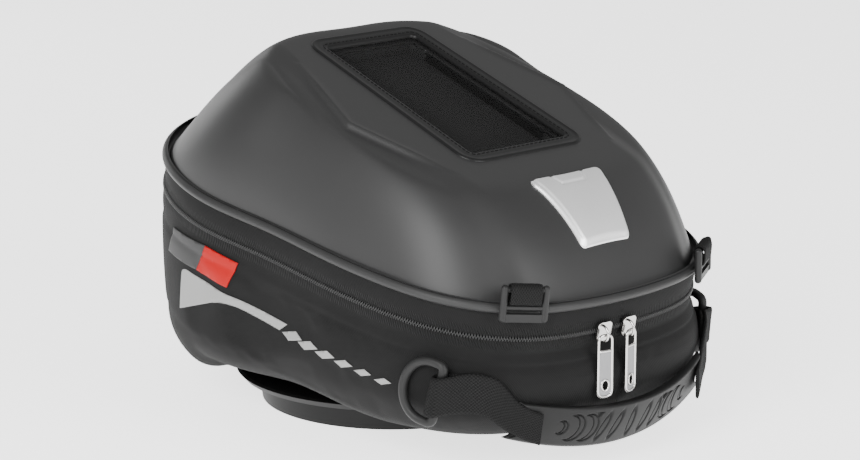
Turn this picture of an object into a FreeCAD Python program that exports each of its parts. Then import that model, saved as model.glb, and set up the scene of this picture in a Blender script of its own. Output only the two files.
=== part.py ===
import FreeCAD, Part

import math
import os
from FreeCAD import Vector as V

# Motorcycle tank bag: a moulded lid zipped to a soft-sided base on a quick-lock ring.
# Millimetres.  +Z up, +Y towards the hinged far end, -Y towards the rider.
# The origin is the centre of the lock ring's bottom face.

# --- driving dimensions -------------------------------------------------------------------

# The lid's sewn edge lies in a plane that rises towards the far end.
EDGE_TILT = math.radians(10.4)
EDGE_HEIGHT = 118.1                # height of that plane above the origin
FAR_RADIUS = 112.3                 # round far end of the plan outline
FAR_CENTRE = 16.2
# Right half of the outline from the rider's end to the far round end, in the edge plane.
SIDE_POINTS = ((0, -174), (26, -172.6), (52, -167.5), (75, -155), (92, -134),
               (101, -107), (106, -70), (108.5, -20), (112.3, 16.2))
FAR_STEPS = 4                      # points on each quarter of the far round end

# Dome height over the edge plane: a crown that falls to the outline, under a sloping flat top.
CROWN = (84.4, 0.186, -9.7)        # height, slope and curvature along the bag
CROWN_POWERS_SIDE = (3.0, 0.45)
CROWN_POWERS_FAR = (2.08, 1.48)
CROWN_POWERS_NEAR = (14.0, 1.44)
TOP_HEIGHT = 65.3
TOP_SLOPE = 0.162
TOP_BLEND = 1.2
FLAT_REACH = 0.3                   # share of the outline that is fully flat

WALL = 4.0                         # laminated foam wall
SPLIT = -16.3                      # the zip's line, measured from the edge plane
TAPE_WIDTH = 8.0
TAPE_THICK = 1.0
TAPE_GAP = 0.7
COIL_GAP = 0.7
COIL = 1.3
PIPING_PROUD = 3.0
PIPING_HALF = 2.7
WALL_BULGE = 1.5

FLOOR_Z = 18.0                     # underside of the soft base
CORNER_Z = 50.0                    # where the walls start to turn under
CORNER_INSET = 28.0
CORNER_STEPS = 7
FLANK_LIFT = 8.3                   # how far the underside arches up at the sides
FOOT_SHARE = 0.62                  # flat part of the underside, as a share of the outline
LINING = 0.8
LINING_GAP = 0.3
HINGE_HALF_WIDTH = 45.0

WINDOW_HALF_WIDTH = 42.0           # outer edge of the window frame
WINDOW_NEAR, WINDOW_FAR = -97.0, 40.0
WINDOW_RADIUS = 11.0
FRAME_WIDTH = 9.0
FRAME_THICK = 1.4
FILM_THICK = 0.6
POCKET_DEPTH = 10.5
POCKET_WALL = 1.2

RING_FOOT_RADIUS = 73.0            # lock ring
RING_LIP_RADIUS = 86.4
RING_LIP_UNDER = 13.4
RING_GAP = 0.5                     # between the lip and the soft base
SOCKET_RADIUS = 62.0
SOCKET_DEPTH = 11.0
PLATE_RADIUS = 60.0
SCREW_CIRCLE = 46.0
SCREW_RADIUS = 2.0
SCREW_COUNT = 4

ZIP_ARC_RADIUS = 225.0             # the rider's end of the zip is an arc of this radius
SLIDER_U = (-14.2, 3.2)            # sliders, across the bag
BAIL_SHIFT = -3.0                  # each bail sits off its slider's middle
PULLER_TURN = (-12.0, 12.0)        # how each hanging puller is twisted
PULLER_WIDTH, PULLER_LENGTH, PULLER_THICK = 9.6, 33.0, 1.5
PULLER_CORNER = 3.4

STRAP_WIDTH, STRAP_THICK = 21.0, 2.2
GRIP_STEPS = 8

SIDES = (("left", -1), ("right", 1))


# --- geometry helpers ---------------------------------------------------------------------

def edge_point(u, v, w):
    """Point u across, v along and w above the lid's sewn edge plane."""
    return V(u, v * math.cos(EDGE_TILT) - w * math.sin(EDGE_TILT),
             EDGE_HEIGHT + v * math.sin(EDGE_TILT) + w * math.cos(EDGE_TILT))


EDGE_UP = V(0, -math.sin(EDGE_TILT), math.cos(EDGE_TILT))
EDGE_ALONG = V(0, math.cos(EDGE_TILT), math.sin(EDGE_TILT))


def periodic_curve(points):
    curve = Part.BSplineCurve()
    curve.interpolate(Points=points, PeriodicFlag=True)
    return curve


def outline_knots():
    right = list(SIDE_POINTS)
    for step in range(1, FAR_STEPS + 1):
        angle = math.pi / 2 * step / FAR_STEPS
        right.append((FAR_RADIUS * math.cos(angle), FAR_CENTRE + FAR_RADIUS * math.sin(angle)))
    left = [(-u, v) for u, v in right[-2:0:-1]]
    return [V(u, v, 0) for u, v in right + left]


OUTLINE = periodic_curve(outline_knots())
RING_SAMPLES = 36


def outline_at(share, offset=0.0):
    """Point on the outline, pushed outwards by offset; share runs 0..1 from the rider's end."""
    first, last = OUTLINE.FirstParameter, OUTLINE.LastParameter
    parameter = first + (last - first) * (share % 1.0)
    point = OUTLINE.value(parameter)
    tangent = OUTLINE.tangent(parameter)[0]
    return V(point.x + tangent.y * offset, point.y - tangent.x * offset, 0)


def closed_wire(points):
    return Part.Wire([periodic_curve(points).toShape()])


def sampled(function):
    """Closed wire through function(share) at even steps round the outline."""
    return closed_wire([function(i / RING_SAMPLES) for i in range(RING_SAMPLES)])


def edge_wire(offset, w):
    def place(share):
        point = outline_at(share, offset)
        return edge_point(point.x, point.y, w)
    return sampled(place)


def edge_prism(offset, low, high):
    """Solid inside the outline, between two heights over the edge plane."""
    return Part.Face(edge_wire(offset, low)).extrude(EDGE_UP * (high - low))


def edge_band(outer, inner, low, high):
    return edge_prism(outer, low, high).cut(edge_prism(inner, low - 1, high + 1))


def box_between(low, high):
    size = [b - a for a, b in zip(low, high)]
    return Part.makeBox(size[0], size[1], size[2], V(*low))


def edge_box(low, high):
    """Box with its faces along the edge plane's own axes."""
    box = box_between(low, high)
    box.rotate(V(0, 0, 0), V(1, 0, 0), math.degrees(EDGE_TILT))
    box.translate(V(0, 0, EDGE_HEIGHT))
    return box


def tube(points, radius):
    """Round bar through points: straight runs with spheres at the corners."""
    bar = Part.makeSphere(radius, points[0])
    for start, end in zip(points, points[1:]):
        run = end - start
        bar = bar.fuse(Part.makeCylinder(radius, run.Length, start, run))
        bar = bar.fuse(Part.makeSphere(radius, end))
    return bar.removeSplitter()


def ribbon(points, widths, thick):
    """Strip of webbing that stands on edge, lofted through points in the middle of its width."""
    wires = []
    for i, (point, width) in enumerate(zip(points, widths)):
        run = points[min(i + 1, len(points) - 1)] - points[max(i - 1, 0)]
        face = V(run.y, -run.x, 0).normalize() * (thick / 2)
        side = V(0, 0, width / 2)
        corners = [point - side - face, point + side - face, point + side + face, point - side + face]
        wires.append(Part.makePolygon(corners + corners[:1]))
    return Part.makeLoft(wires, True, True, False)


def largest(shape):
    return max(shape.Solids, key=lambda solid: solid.Volume)


def mirrored(shape):
    return shape.mirror(V(0, 0, 0), V(1, 0, 0))


def placed(shape, origin, x_axis, y_axis, z_axis):
    """Shape drawn at the world origin, moved to origin with the given axes."""
    matrix = FreeCAD.Matrix(x_axis.x, y_axis.x, z_axis.x, origin.x,
                            x_axis.y, y_axis.y, z_axis.y, origin.y,
                            x_axis.z, y_axis.z, z_axis.z, origin.z)
    return shape.transformed(matrix)


# --- lid ----------------------------------------------------------------------------------

def top_plane(v):
    return TOP_HEIGHT + TOP_SLOPE * v


def dome_height(u, v, share_out):
    """Height over the edge plane at (u, v), share_out of the way from the middle to the edge."""
    if share_out <= FLAT_REACH:
        return top_plane(v)
    reach = math.hypot(u, v) or 1.0
    lean = v / reach
    far, near = max(lean, 0) ** 2, max(-lean, 0) ** 2
    power, curl = [side + (f - side) * far + (n - side) * near for side, f, n in
                   zip(CROWN_POWERS_SIDE, CROWN_POWERS_FAR, CROWN_POWERS_NEAR)]
    crown = CROWN[0] + CROWN[1] * v + CROWN[2] * (v / 100) ** 2
    crown *= max(1 - share_out ** power, 0) ** curl
    gap = (crown - top_plane(v)) / TOP_BLEND
    return min(crown, top_plane(v)) - TOP_BLEND * math.log(1 + math.exp(-abs(gap)))


DOME_RINGS = (0.99, 0.97, 0.94, 0.91, 0.87, 0.82, 0.77, 0.71, 0.64, 0.57, 0.5, 0.43, 0.36, 0.3)


def dome_solid(inset, drop, skirt):
    """Solid under the dome's skin, moved inwards by inset and down by drop."""
    wires = [edge_wire(-inset, 0)]
    for ring in DOME_RINGS:
        def place(share, ring=ring):
            point = outline_at(share, -inset) * ring
            height = dome_height(point.x, point.y, ring)
            fade = min(1.0, height / 25.0)
            return edge_point(point.x, point.y, max(height - drop * fade, 0.2))
        wires.append(sampled(place))
    if skirt:
        wires.insert(0, edge_wire(-inset, -skirt))
    return Part.makeLoft(wires, True, True, False)


def window_prism(margin, low, high):
    """Rounded window outline, shrunk by margin, standing on the flat top."""
    half = WINDOW_HALF_WIDTH - margin
    near, far = WINDOW_NEAR + margin, WINDOW_FAR - margin
    radius = max(WINDOW_RADIUS - margin, 2.0)
    plate = Part.makeBox(2 * half, far - near, high - low, V(-half, near, low))
    uprights = [e for e in plate.Edges if abs(e.Vertexes[0].Z - e.Vertexes[1].Z) > 0.1]
    plate = plate.makeFillet(radius, uprights)
    plate.rotate(V(0, 0, 0), V(1, 0, 0), math.degrees(math.atan(TOP_SLOPE)))
    plate.translate(V(0, 0, TOP_HEIGHT))
    plate.rotate(V(0, 0, 0), V(1, 0, 0), math.degrees(EDGE_TILT))
    plate.translate(V(0, 0, EDGE_HEIGHT))
    return plate


def make_lid_shell(outer):
    shell = outer.cut(dome_solid(WALL, WALL - 0.5, 1.0))
    return shell.cut(window_prism(FRAME_WIDTH, -20, 20))


def make_lid_lining(outer_inset=WALL + LINING_GAP):
    outer = dome_solid(outer_inset, outer_inset - 0.4, 0)
    inner = dome_solid(outer_inset + LINING, outer_inset + LINING - 0.4, 1.0)
    return outer.cut(inner).cut(window_prism(FRAME_WIDTH - 2, -20, 20))


def make_piping():
    """Half-round cord sewn over the seam between the dome and the fabric band."""
    cord = edge_band(PIPING_PROUD, 0.02, -PIPING_HALF, PIPING_HALF)
    rims = [e for e in cord.Edges if e.Length > 500 and touches_outer_rim(e)]
    return cord.makeChamfer(PIPING_PROUD * 0.45, rims)


def touches_outer_rim(edge):
    start = edge.Vertexes[0].Point
    inner = edge_point(outline_at(0, 0).x, outline_at(0, 0).y, 0)
    return (start - inner).dot(EDGE_ALONG) < -PIPING_PROUD * 0.5


def make_lid_band():
    low = SPLIT + TAPE_WIDTH
    return edge_band(0, -WALL, low, -0.05)


def tape(low, high):
    cut = edge_box((-HINGE_HALF_WIDTH, 60, low - 5), (HINGE_HALF_WIDTH, 200, high + 5))
    return edge_band(0, -TAPE_THICK, low, high).cut(cut)


def coil(low, high):
    cut = edge_box((-HINGE_HALF_WIDTH, 60, low - 5), (HINGE_HALF_WIDTH, 200, high + 5))
    return edge_band(COIL, 0.02, low, high).cut(cut)


def make_window_frame():
    return window_prism(0, 0.05, FRAME_THICK).cut(window_prism(FRAME_WIDTH, -5, 5))


def make_film():
    return window_prism(FRAME_WIDTH + 0.1, -FILM_THICK - 0.3, -0.3)


def make_pocket():
    """Shallow tray behind the film, open on its right side for a phone."""
    top = -WALL - 1.0
    outer = window_prism(FRAME_WIDTH + 0.2, -POCKET_DEPTH - POCKET_WALL, top)
    hollow = window_prism(FRAME_WIDTH + 0.2 + POCKET_WALL, -POCKET_DEPTH, 5)
    mouth = Part.makeBox(30, 96, POCKET_DEPTH + top, V(20, -77, -POCKET_DEPTH + 0.3))
    mouth.rotate(V(0, 0, 0), V(1, 0, 0), math.degrees(math.atan(TOP_SLOPE)))
    mouth.translate(V(0, 0, TOP_HEIGHT))
    mouth.rotate(V(0, 0, 0), V(1, 0, 0), math.degrees(EDGE_TILT))
    mouth.translate(V(0, 0, EDGE_HEIGHT))
    return outer.cut(hollow).cut(mouth)


# --- badge --------------------------------------------------------------------------------

BADGE_TOP = (25.6, -121.0)         # half width and place of the upper edge
BADGE_FOOT = (17.5, -157.0)
BADGE_PROUD = 2.4


def make_badge(outer):
    """Tapered plate that follows the rider's slope of the lid."""
    corners = [edge_point(half, v, 5) for half, v in
               ((-BADGE_TOP[0], BADGE_TOP[1]), BADGE_TOP, BADGE_FOOT, (-BADGE_FOOT[0], BADGE_FOOT[1]))]
    blank = Part.Face(Part.makePolygon(corners + corners[:1])).extrude(EDGE_UP * 60)
    uprights = [e for e in blank.Edges if abs(e.Length - 60) < 0.1]
    blank = blank.makeFillet(3.0, uprights)
    proud = dome_solid(-BADGE_PROUD, -BADGE_PROUD, 0)
    return largest(proud.cut(outer).common(blank))


# --- base ---------------------------------------------------------------------------------

def eased(x):
    x = min(max(x, 0.0), 1.0)
    return x * x * (3 - 2 * x)


def flank_lift(y):
    """How far the underside arches up at the sides, where it bridges the tank."""
    return FLANK_LIFT * eased((56 - y) / 18) * eased((y + 92) / 75)


def base_wires(offset, floor_rise, top):
    """Rings from the zip's edge down to the turned-under floor."""
    def upper(share):
        point = outline_at(share, offset)
        return edge_point(point.x, point.y, top)

    def lower(share):
        point = outline_at(share, offset + WALL_BULGE)
        return V(point.x, point.y * math.cos(EDGE_TILT), CORNER_Z)

    wires = [sampled(upper)]
    wires += [sampled(lambda share, mix=mix: upper(share) * (1 - mix) + lower(share) * mix)
              for mix in (0.5, 1.0)]
    drop = CORNER_Z - FLOOR_Z - floor_rise
    for step in range(1, CORNER_STEPS + 1):
        angle = math.pi / 2 * step / CORNER_STEPS

        def place(share, angle=angle):
            inset = CORNER_INSET * (1 - math.cos(angle)) - WALL_BULGE * math.cos(angle)
            point = outline_at(share, offset - inset)
            y = point.y * math.cos(EDGE_TILT)
            return V(point.x, y, CORNER_Z - (drop - flank_lift(y)) * math.sin(angle))
        wires.append(sampled(place))

    def foot(share):
        point = outline_at(share, offset) * FOOT_SHARE
        return V(point.x, point.y * math.cos(EDGE_TILT), FLOOR_Z + floor_rise)
    return wires + [sampled(foot)]


def base_solid(offset, floor_rise, top):
    return Part.makeLoft(base_wires(offset, floor_rise, top), True, True, False)


BASE_TOP = SPLIT - TAPE_WIDTH


def screw_places():
    for i in range(SCREW_COUNT):
        angle = math.radians(45 + 360 / SCREW_COUNT * i)
        yield SCREW_CIRCLE * math.cos(angle), SCREW_CIRCLE * math.sin(angle)


def drilled(shape, radius, low, high):
    for x, y in screw_places():
        shape = shape.cut(Part.makeCylinder(radius, high - low, V(x, y, low)))
    return shape


def make_base_shell(outer):
    inner = base_solid(-WALL, WALL - 0.5, BASE_TOP + 1)
    return drilled(outer.cut(inner), 2.3, 10, 30)


def make_base_lining():
    gap = WALL + LINING_GAP
    outer = base_solid(-gap, gap - 0.5, BASE_TOP + 1)
    inner = base_solid(-gap - LINING, gap + LINING - 0.5, BASE_TOP + 1)
    above = edge_prism(0, BASE_TOP - 1.5, BASE_TOP + 5)
    return drilled(outer.cut(inner).cut(above), 2.3, 10, 30)


PLATE_LOW = FLOOR_Z + WALL + LINING_GAP + LINING


def make_floor_board():
    """Stiff board that carries the load onto the lock ring."""
    def place(share):
        point = outline_at(share) * (FOOT_SHARE - 0.04)
        return V(point.x, point.y * math.cos(EDGE_TILT), PLATE_LOW)
    board = Part.Face(sampled(place)).extrude(V(0, 0, 2.0))
    return drilled(board, 2.3, 10, 40)


def make_backing_ring():
    ring = Part.makeCylinder(SCREW_CIRCLE + 8, 1.5, V(0, 0, PLATE_LOW + 2.1))
    ring = ring.cut(Part.makeCylinder(SCREW_CIRCLE - 8, 5, V(0, 0, PLATE_LOW)))
    return drilled(ring, 2.2, 10, 40)


def make_hinge_cloth(low, high):
    """One half of the cloth hinge at the far end, below or above its fold."""
    panel = edge_band(0, -TAPE_THICK, low, high)
    reach = HINGE_HALF_WIDTH - 0.3
    return panel.common(edge_box((-reach, 60, -40), (reach, 200, 0)))


def wall_skin(thick, low_gap=0.05):
    """Thin skin over the outside of the soft base."""
    return base_solid(thick + low_gap, 0, BASE_TOP).cut(base_solid(low_gap, 0, BASE_TOP))


def side_cutter(outline, side):
    """Prism across one side of the bag, from an outline of (y, z) points."""
    points = [V(side * 40, y, z) for y, z in outline]
    return Part.Face(Part.makePolygon(points + points[:1])).extrude(V(side * 100, 0, 0))


WEDGE = ((40, 81), (46, 59), (18, 66.5), (9, 68.7), (2, 68.5), (-32, 61), (-38, 63),
         (-3.5, 72.3), (27, 80))
DASH_COUNT = 6
DASH_START = (-42.3, 60.7)
DASH_STEP = (-12.4, -2.45)
DASH_SIZE = (7.4, 3.2)             # first dash; the others shrink by DASH_SHRINK
DASH_SHRINK = (0.45, 0.36)
DASH_SLANT = -7.5


def make_reflective(skin, side):
    """Printed wedge and a row of slanted dashes on one flank."""
    pieces = [skin.common(side_cutter(WEDGE, side))]
    for i in range(DASH_COUNT):
        y = DASH_START[0] + DASH_STEP[0] * i
        z = DASH_START[1] + DASH_STEP[1] * i
        half, rise = [(size - shrink * i) / 2 for size, shrink in zip(DASH_SIZE, DASH_SHRINK)]
        lean = DASH_SLANT / 2
        dash = ((y + half + lean, z - rise), (y - half + lean, z - rise),
                (y - half - lean, z + rise), (y + half - lean, z + rise))
        pieces.append(skin.common(side_cutter(dash, side)))
    return Part.makeCompound(pieces)


LABEL = ((55, 100.5), (62, 86.5), (29, 83), (4.6, 77.8), (-2, 91.5), (22, 97))


def make_label(skin):
    return skin.common(side_cutter(LABEL, -1))


# --- lock ring ----------------------------------------------------------------------------

def revolved(profile):
    points = [V(r, 0, z) for r, z in profile]
    return Part.Face(Part.makePolygon(points + points[:1])).revolve(V(0, 0, 0), V(0, 0, 1), 360)


LATCH_HALF = 11.0
LATCH_LOW, LATCH_HIGH = 3.0, 9.0


def make_lock_ring():
    ring = revolved((
        (SOCKET_RADIUS, 0), (RING_FOOT_RADIUS - 0.6, 0), (RING_FOOT_RADIUS + 1, RING_LIP_UNDER - 2),
        (RING_LIP_RADIUS - 3, RING_LIP_UNDER), (RING_LIP_RADIUS, FLOOR_Z - 1.3),
        (RING_LIP_RADIUS - 2, FLOOR_Z - RING_GAP), (PLATE_RADIUS, FLOOR_Z - RING_GAP),
        (PLATE_RADIUS, SOCKET_DEPTH), (SOCKET_RADIUS, SOCKET_DEPTH)))
    slot = box_between((-LATCH_HALF - 0.4, -100, LATCH_LOW - 0.4),
                       (LATCH_HALF + 0.4, 0, LATCH_HIGH + 0.4))
    return ring.cut(slot)


def make_lock_plate():
    """Round plate that closes the socket's top and takes the screws."""
    plate = Part.makeCylinder(PLATE_RADIUS - 0.05, FLOOR_Z - 0.1 - SOCKET_DEPTH, V(0, 0, SOCKET_DEPTH))
    plate = drilled(plate, 2.2, 5, 30)
    for x, y in screw_places():
        plate = plate.cut(Part.makeCylinder(4.5, 3.4, V(x, y, SOCKET_DEPTH), V(0, 0, 1)))
    return plate


def make_screws():
    screws = []
    top = PLATE_LOW + 2.1 + 1.5
    for x, y in screw_places():
        shank = Part.makeCylinder(SCREW_RADIUS, top - SOCKET_DEPTH - 0.4, V(x, y, SOCKET_DEPTH + 0.4))
        head = Part.makeCylinder(4.0, 1.8, V(x, y, top + 0.02))
        screws.append(shank.fuse(head.fuse(Part.makeCylinder(SCREW_RADIUS, 0.1, V(x, y, top - 0.05)))))
    return Part.makeCompound(screws)


def make_nuts():
    nuts = []
    for x, y in screw_places():
        corners = [V(x + 3.9 * math.cos(math.pi / 3 * k), y + 3.9 * math.sin(math.pi / 3 * k),
                     SOCKET_DEPTH + 0.5) for k in range(6)]
        nut = Part.Face(Part.makePolygon(corners + corners[:1])).extrude(V(0, 0, 2.8))
        nuts.append(nut.cut(Part.makeCylinder(SCREW_RADIUS + 0.05, 10, V(x, y, SOCKET_DEPTH - 2))))
    return Part.makeCompound(nuts)


def make_latch():
    """Sprung bolt that reaches into the socket, with its pull tab outside the ring."""
    bolt = box_between((-LATCH_HALF, -RING_FOOT_RADIUS - 2, LATCH_LOW),
                       (LATCH_HALF, -SOCKET_RADIUS + 4, LATCH_HIGH))
    nose = Part.makeCylinder(SOCKET_RADIUS - 3.5, 20, V(0, 0, 0))
    tab = box_between((-9, -RING_FOOT_RADIUS - 16, LATCH_LOW + 1),
                      (9, -RING_FOOT_RADIUS - 2, LATCH_HIGH - 2))
    hole = Part.makeCylinder(4, 20, V(0, -RING_FOOT_RADIUS - 10, 0))
    return bolt.cut(nose).fuse(tab).cut(hole).removeSplitter()


# --- hardware -----------------------------------------------------------------------------

def arc_place(u, out, w):
    """Point and tangent on the zip's arc at the rider's end, out from the wall."""
    centre_v = SIDE_POINTS[0][1] + ZIP_ARC_RADIUS
    angle = math.asin(u / ZIP_ARC_RADIUS)
    radius = ZIP_ARC_RADIUS + out
    point = edge_point(radius * math.sin(angle), centre_v - radius * math.cos(angle), w)
    along = edge_point(math.cos(angle), math.sin(angle), 0) - edge_point(0, 0, 0)
    outwards = edge_point(math.sin(angle), -math.cos(angle), 0) - edge_point(0, 0, 0)
    return point, along, outwards


BAIL_OUT = 7.0                     # the puller's bar, out from the wall
BAIL_RADIUS, BAIL_WIRE = 4.2, 0.65
BAIL_CENTRE = 4.6


def make_slider(u, inner_sign):
    """Two plates joined by a thin post, with a bail on the outer plate."""
    centre, along, out = arc_place(u, 0, SPLIT)
    length, height = 9.5, 9.8
    outer = box_between((-length / 2, -height / 2, 1.7), (length / 2, height / 2, 2.9))
    uprights = [e for e in outer.Edges if abs(e.Vertexes[0].Z - e.Vertexes[1].Z) > 0.1]
    outer = outer.makeFillet(2.2, uprights)
    inner = box_between((-length / 2, -height / 2, -2.5), (length / 2, height / 2, -1.4))
    post = box_between((inner_sign * 3.0 - 1.2, -0.4, -2.0), (inner_sign * 3.0 + 1.2, 0.4, 2.2))
    bail = Part.makeTorus(BAIL_RADIUS, BAIL_WIRE, V(BAIL_SHIFT, 0, BAIL_CENTRE), V(1, 0, 0))
    bail = bail.common(box_between((-8, -9, 2.2), (2, 9, 12)))
    slider = outer.fuse(inner).fuse(post).fuse(bail).removeSplitter()
    return placed(slider, centre, along, EDGE_UP, out)


def puller_frame(u, turn):
    """Pivot on the bail, and the puller's width, length and face directions."""
    pivot = arc_place(u + BAIL_SHIFT, BAIL_OUT, SPLIT)[0]
    angle = math.radians(turn)
    across = V(math.cos(angle), math.sin(angle), 0)
    face = V(math.sin(angle), -math.cos(angle), 0)
    return pivot, across, face


def make_puller(u, turn):
    pivot, across, face = puller_frame(u, turn)
    half = PULLER_WIDTH / 2
    plate = box_between((-half, -PULLER_LENGTH + 0.7, -PULLER_THICK / 2), (half, 0.7, PULLER_THICK / 2))
    uprights = [e for e in plate.Edges if abs(e.Vertexes[0].Z - e.Vertexes[1].Z) > 0.1]
    plate = plate.makeFillet(PULLER_CORNER, uprights)
    slot = box_between((-half + 1.6, -7.6, -5), (half - 1.6, -0.7, 5))
    hole = Part.makeCylinder(2.2, 10, V(0, -PULLER_LENGTH + 6.2, -5))
    plate = plate.cut(slot).cut(hole)
    return placed(plate, pivot, across, V(0, 0, 1), face)


BUCKLE_SHARE_U = 63.5              # how far the buckles sit from the centre line
BUCKLE_PIVOT_W = 11.5
BUCKLE_OUT = 3.8                   # the pivot, out from the edge


def buckle_frame():
    """Right buckle's pivot, its width direction along the edge, and outward direction."""
    best = min((abs(outline_at(s / 2000.0).x - BUCKLE_SHARE_U), s / 2000.0) for s in range(0, 500))[1]
    inner = outline_at(best)
    outer = outline_at(best, 1.0)
    ahead = outline_at(best + 0.002)
    out = (edge_point(outer.x, outer.y, 0) - edge_point(inner.x, inner.y, 0)).normalize()
    along = (edge_point(ahead.x, ahead.y, 0) - edge_point(inner.x, inner.y, 0)).normalize()
    return inner, along, out


def make_buckle():
    """Frame of two side rods, a round top bar, a middle bar and a wide lower bar."""
    inner, along, out = buckle_frame()
    pivot = edge_point(inner.x, inner.y, BUCKLE_PIVOT_W) + out * BUCKLE_OUT
    half, tall, rod = 10.6, 14.3, 1.9
    frame = None
    for side in (-1, 1):
        bar = tube([V(side * half, 0.6, 0), V(side * half, -tall, 2.2)], rod)
        frame = bar if frame is None else frame.fuse(bar)
    frame = frame.fuse(tube([V(-half, 0, 0), V(half, 0, 0)], 1.5))
    frame = frame.fuse(tube([V(-half, -8.8, 1.5), V(half, -8.8, 1.5)], 1.2))
    frame = frame.fuse(box_between((-half, -tall - 1.6, 0.9), (half, -tall + 2.6, 3.3)))
    return placed(frame.removeSplitter(), pivot, along, EDGE_UP, out)


def make_buckle_tab():
    """Webbing loop from the seam up over the buckle's top bar."""
    inner, along, out = buckle_frame()
    base = edge_point(inner.x, inner.y, 0)

    def at(height, reach):
        return base + EDGE_UP * height + out * reach
    half = 8.2
    outer_loop = [at(3.4, 3.3), at(8.8, 0.8), at(12.4, 0.85), at(14.4, 2.6), at(14.4, 5.1),
                  at(12.4, 6.8), at(7.0, 7.2), at(7.0, 6.5), at(12.0, 6.0), at(13.6, 4.6),
                  at(13.6, 3.0), at(12.0, 1.6), at(9.0, 1.55), at(3.4, 4.1)]
    loop = Part.Face(Part.makePolygon([p - along * half for p in outer_loop + outer_loop[:1]]))
    return loop.extrude(along * (2 * half))


RING_BAR_TOP = V(96.0, -139.3, 58.0)
RING_BAR_LOW = V(98.5, -134.8, 35.0)
SLEEVE_INNER, SLEEVE_OUTER = 3.7, 5.4


def d_ring_axes():
    up = (RING_BAR_TOP - RING_BAR_LOW).normalize()
    back = V(0.27, 0.96, 0.08)
    back = (back - up * back.dot(up)).normalize()
    return up, back, back.cross(up)


def d_outline(half, straight, reach):
    """Closed D outline: a straight bar, two short arms and a round bow."""
    bow = Part.Arc(V(straight, -half, 0), V(reach, 0, 0), V(straight, half, 0)).toShape()
    corners = [V(straight, half, 0), V(0, half, 0), V(0, -half, 0), V(straight, -half, 0)]
    lines = [Part.LineSegment(a, b).toShape() for a, b in zip(corners, corners[1:])]
    return Part.Face(Part.Wire(lines + [bow]))


def make_d_ring():
    """D-shaped ring whose straight bar runs up through the webbing loop."""
    up, back, face = d_ring_axes()
    middle = (RING_BAR_TOP + RING_BAR_LOW) * 0.5
    thick, wire = 4.4, 5.0
    blank = d_outline(18.0, 8.0, 25.0).extrude(V(0, 0, thick))
    window = d_outline(18.0 - wire, 8.0, 25.0 - wire).extrude(V(0, 0, thick + 2))
    window.translate(V(wire, 0, -1))
    window = window.common(Part.makeBox(25.0 - 2 * wire, 60, 20, V(wire, -30, -5)))
    corners = [e for e in blank.Edges if e.BoundBox.ZLength > thick - 0.1 and e.BoundBox.XMax < 0.1]
    blank = blank.makeFillet(wire - 1.0, corners)
    blank = blank.makeChamfer(1.0, [e for e in blank.Edges if e.BoundBox.ZLength < 0.01])
    ring = blank.cut(window)
    ring.translate(V(-wire / 2, 0, -thick / 2))
    return placed(ring, middle, back, up, face)


# --- carrying handle ----------------------------------------------------------------------

BEND = V(79.4, -156.8, 47.5)       # where the strap leaves the wall


def grip_curve(share, half, end_y, sag, end_z, droop):
    fall = 1 - share ** 2
    return V(half * share, end_y - sag * fall, end_z - droop * fall)


def grip_section(share):
    """Four corners of the grip: front top, front foot, back foot, back top."""
    front_top = grip_curve(share, 68, -164, 17, 42.5, 9)
    front_foot = grip_curve(share, 73, -158, 12.5, 24, 13.5)
    inwards = V(-1.5 * share, 2.9 + 2.1 * (1 - share ** 2), 0)
    return front_top, front_foot, front_foot + inwards, front_top + inwards


def make_grip():
    wires = []
    for k in range(-GRIP_STEPS, GRIP_STEPS + 1):
        corners = list(grip_section(k / GRIP_STEPS))
        wires.append(Part.makePolygon(corners + corners[:1]))
    return Part.makeLoft(wires, True, True, False)


def grip_end():
    corners = grip_section(1)
    return (corners[0] + corners[1] + corners[2] + corners[3]) * 0.25


def make_handle_strap():
    """Webbing from the bend at the wall down to the end of the grip."""
    end = grip_end()
    points = [BEND + V(-1.2, -1.5, -1.2), V(76.0, -160.3, 43.0), end + V(1.5, 0.3, 1.0),
              end + V(-6.0, -3.0, -1.5)]
    strap = ribbon(points, (4, 14, 16, 16), STRAP_THICK)
    return largest(strap.cut(make_grip()))


def make_wall_strap():
    """Webbing sleeve round the ring's bar, and its tail along the wall to the bend."""
    up = (RING_BAR_TOP - RING_BAR_LOW).normalize()
    middle = (RING_BAR_TOP + RING_BAR_LOW) * 0.5
    foot = middle - up * (STRAP_WIDTH / 2)
    sleeve = Part.makeCylinder(SLEEVE_OUTER, STRAP_WIDTH, foot, up)
    bore = Part.makeCylinder(SLEEVE_INNER, STRAP_WIDTH + 8, foot - up * 4, up)
    points = [middle + V(-3.6, -3.2, 0.4), V(91.1, -142.7, 47.4), V(84.8, -150.2, 48.0), BEND]
    tail = ribbon(points, (STRAP_WIDTH,) * 4, STRAP_THICK)
    return largest(sleeve.fuse(tail).cut(bore).removeSplitter())


# --- all parts ----------------------------------------------------------------------------

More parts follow.
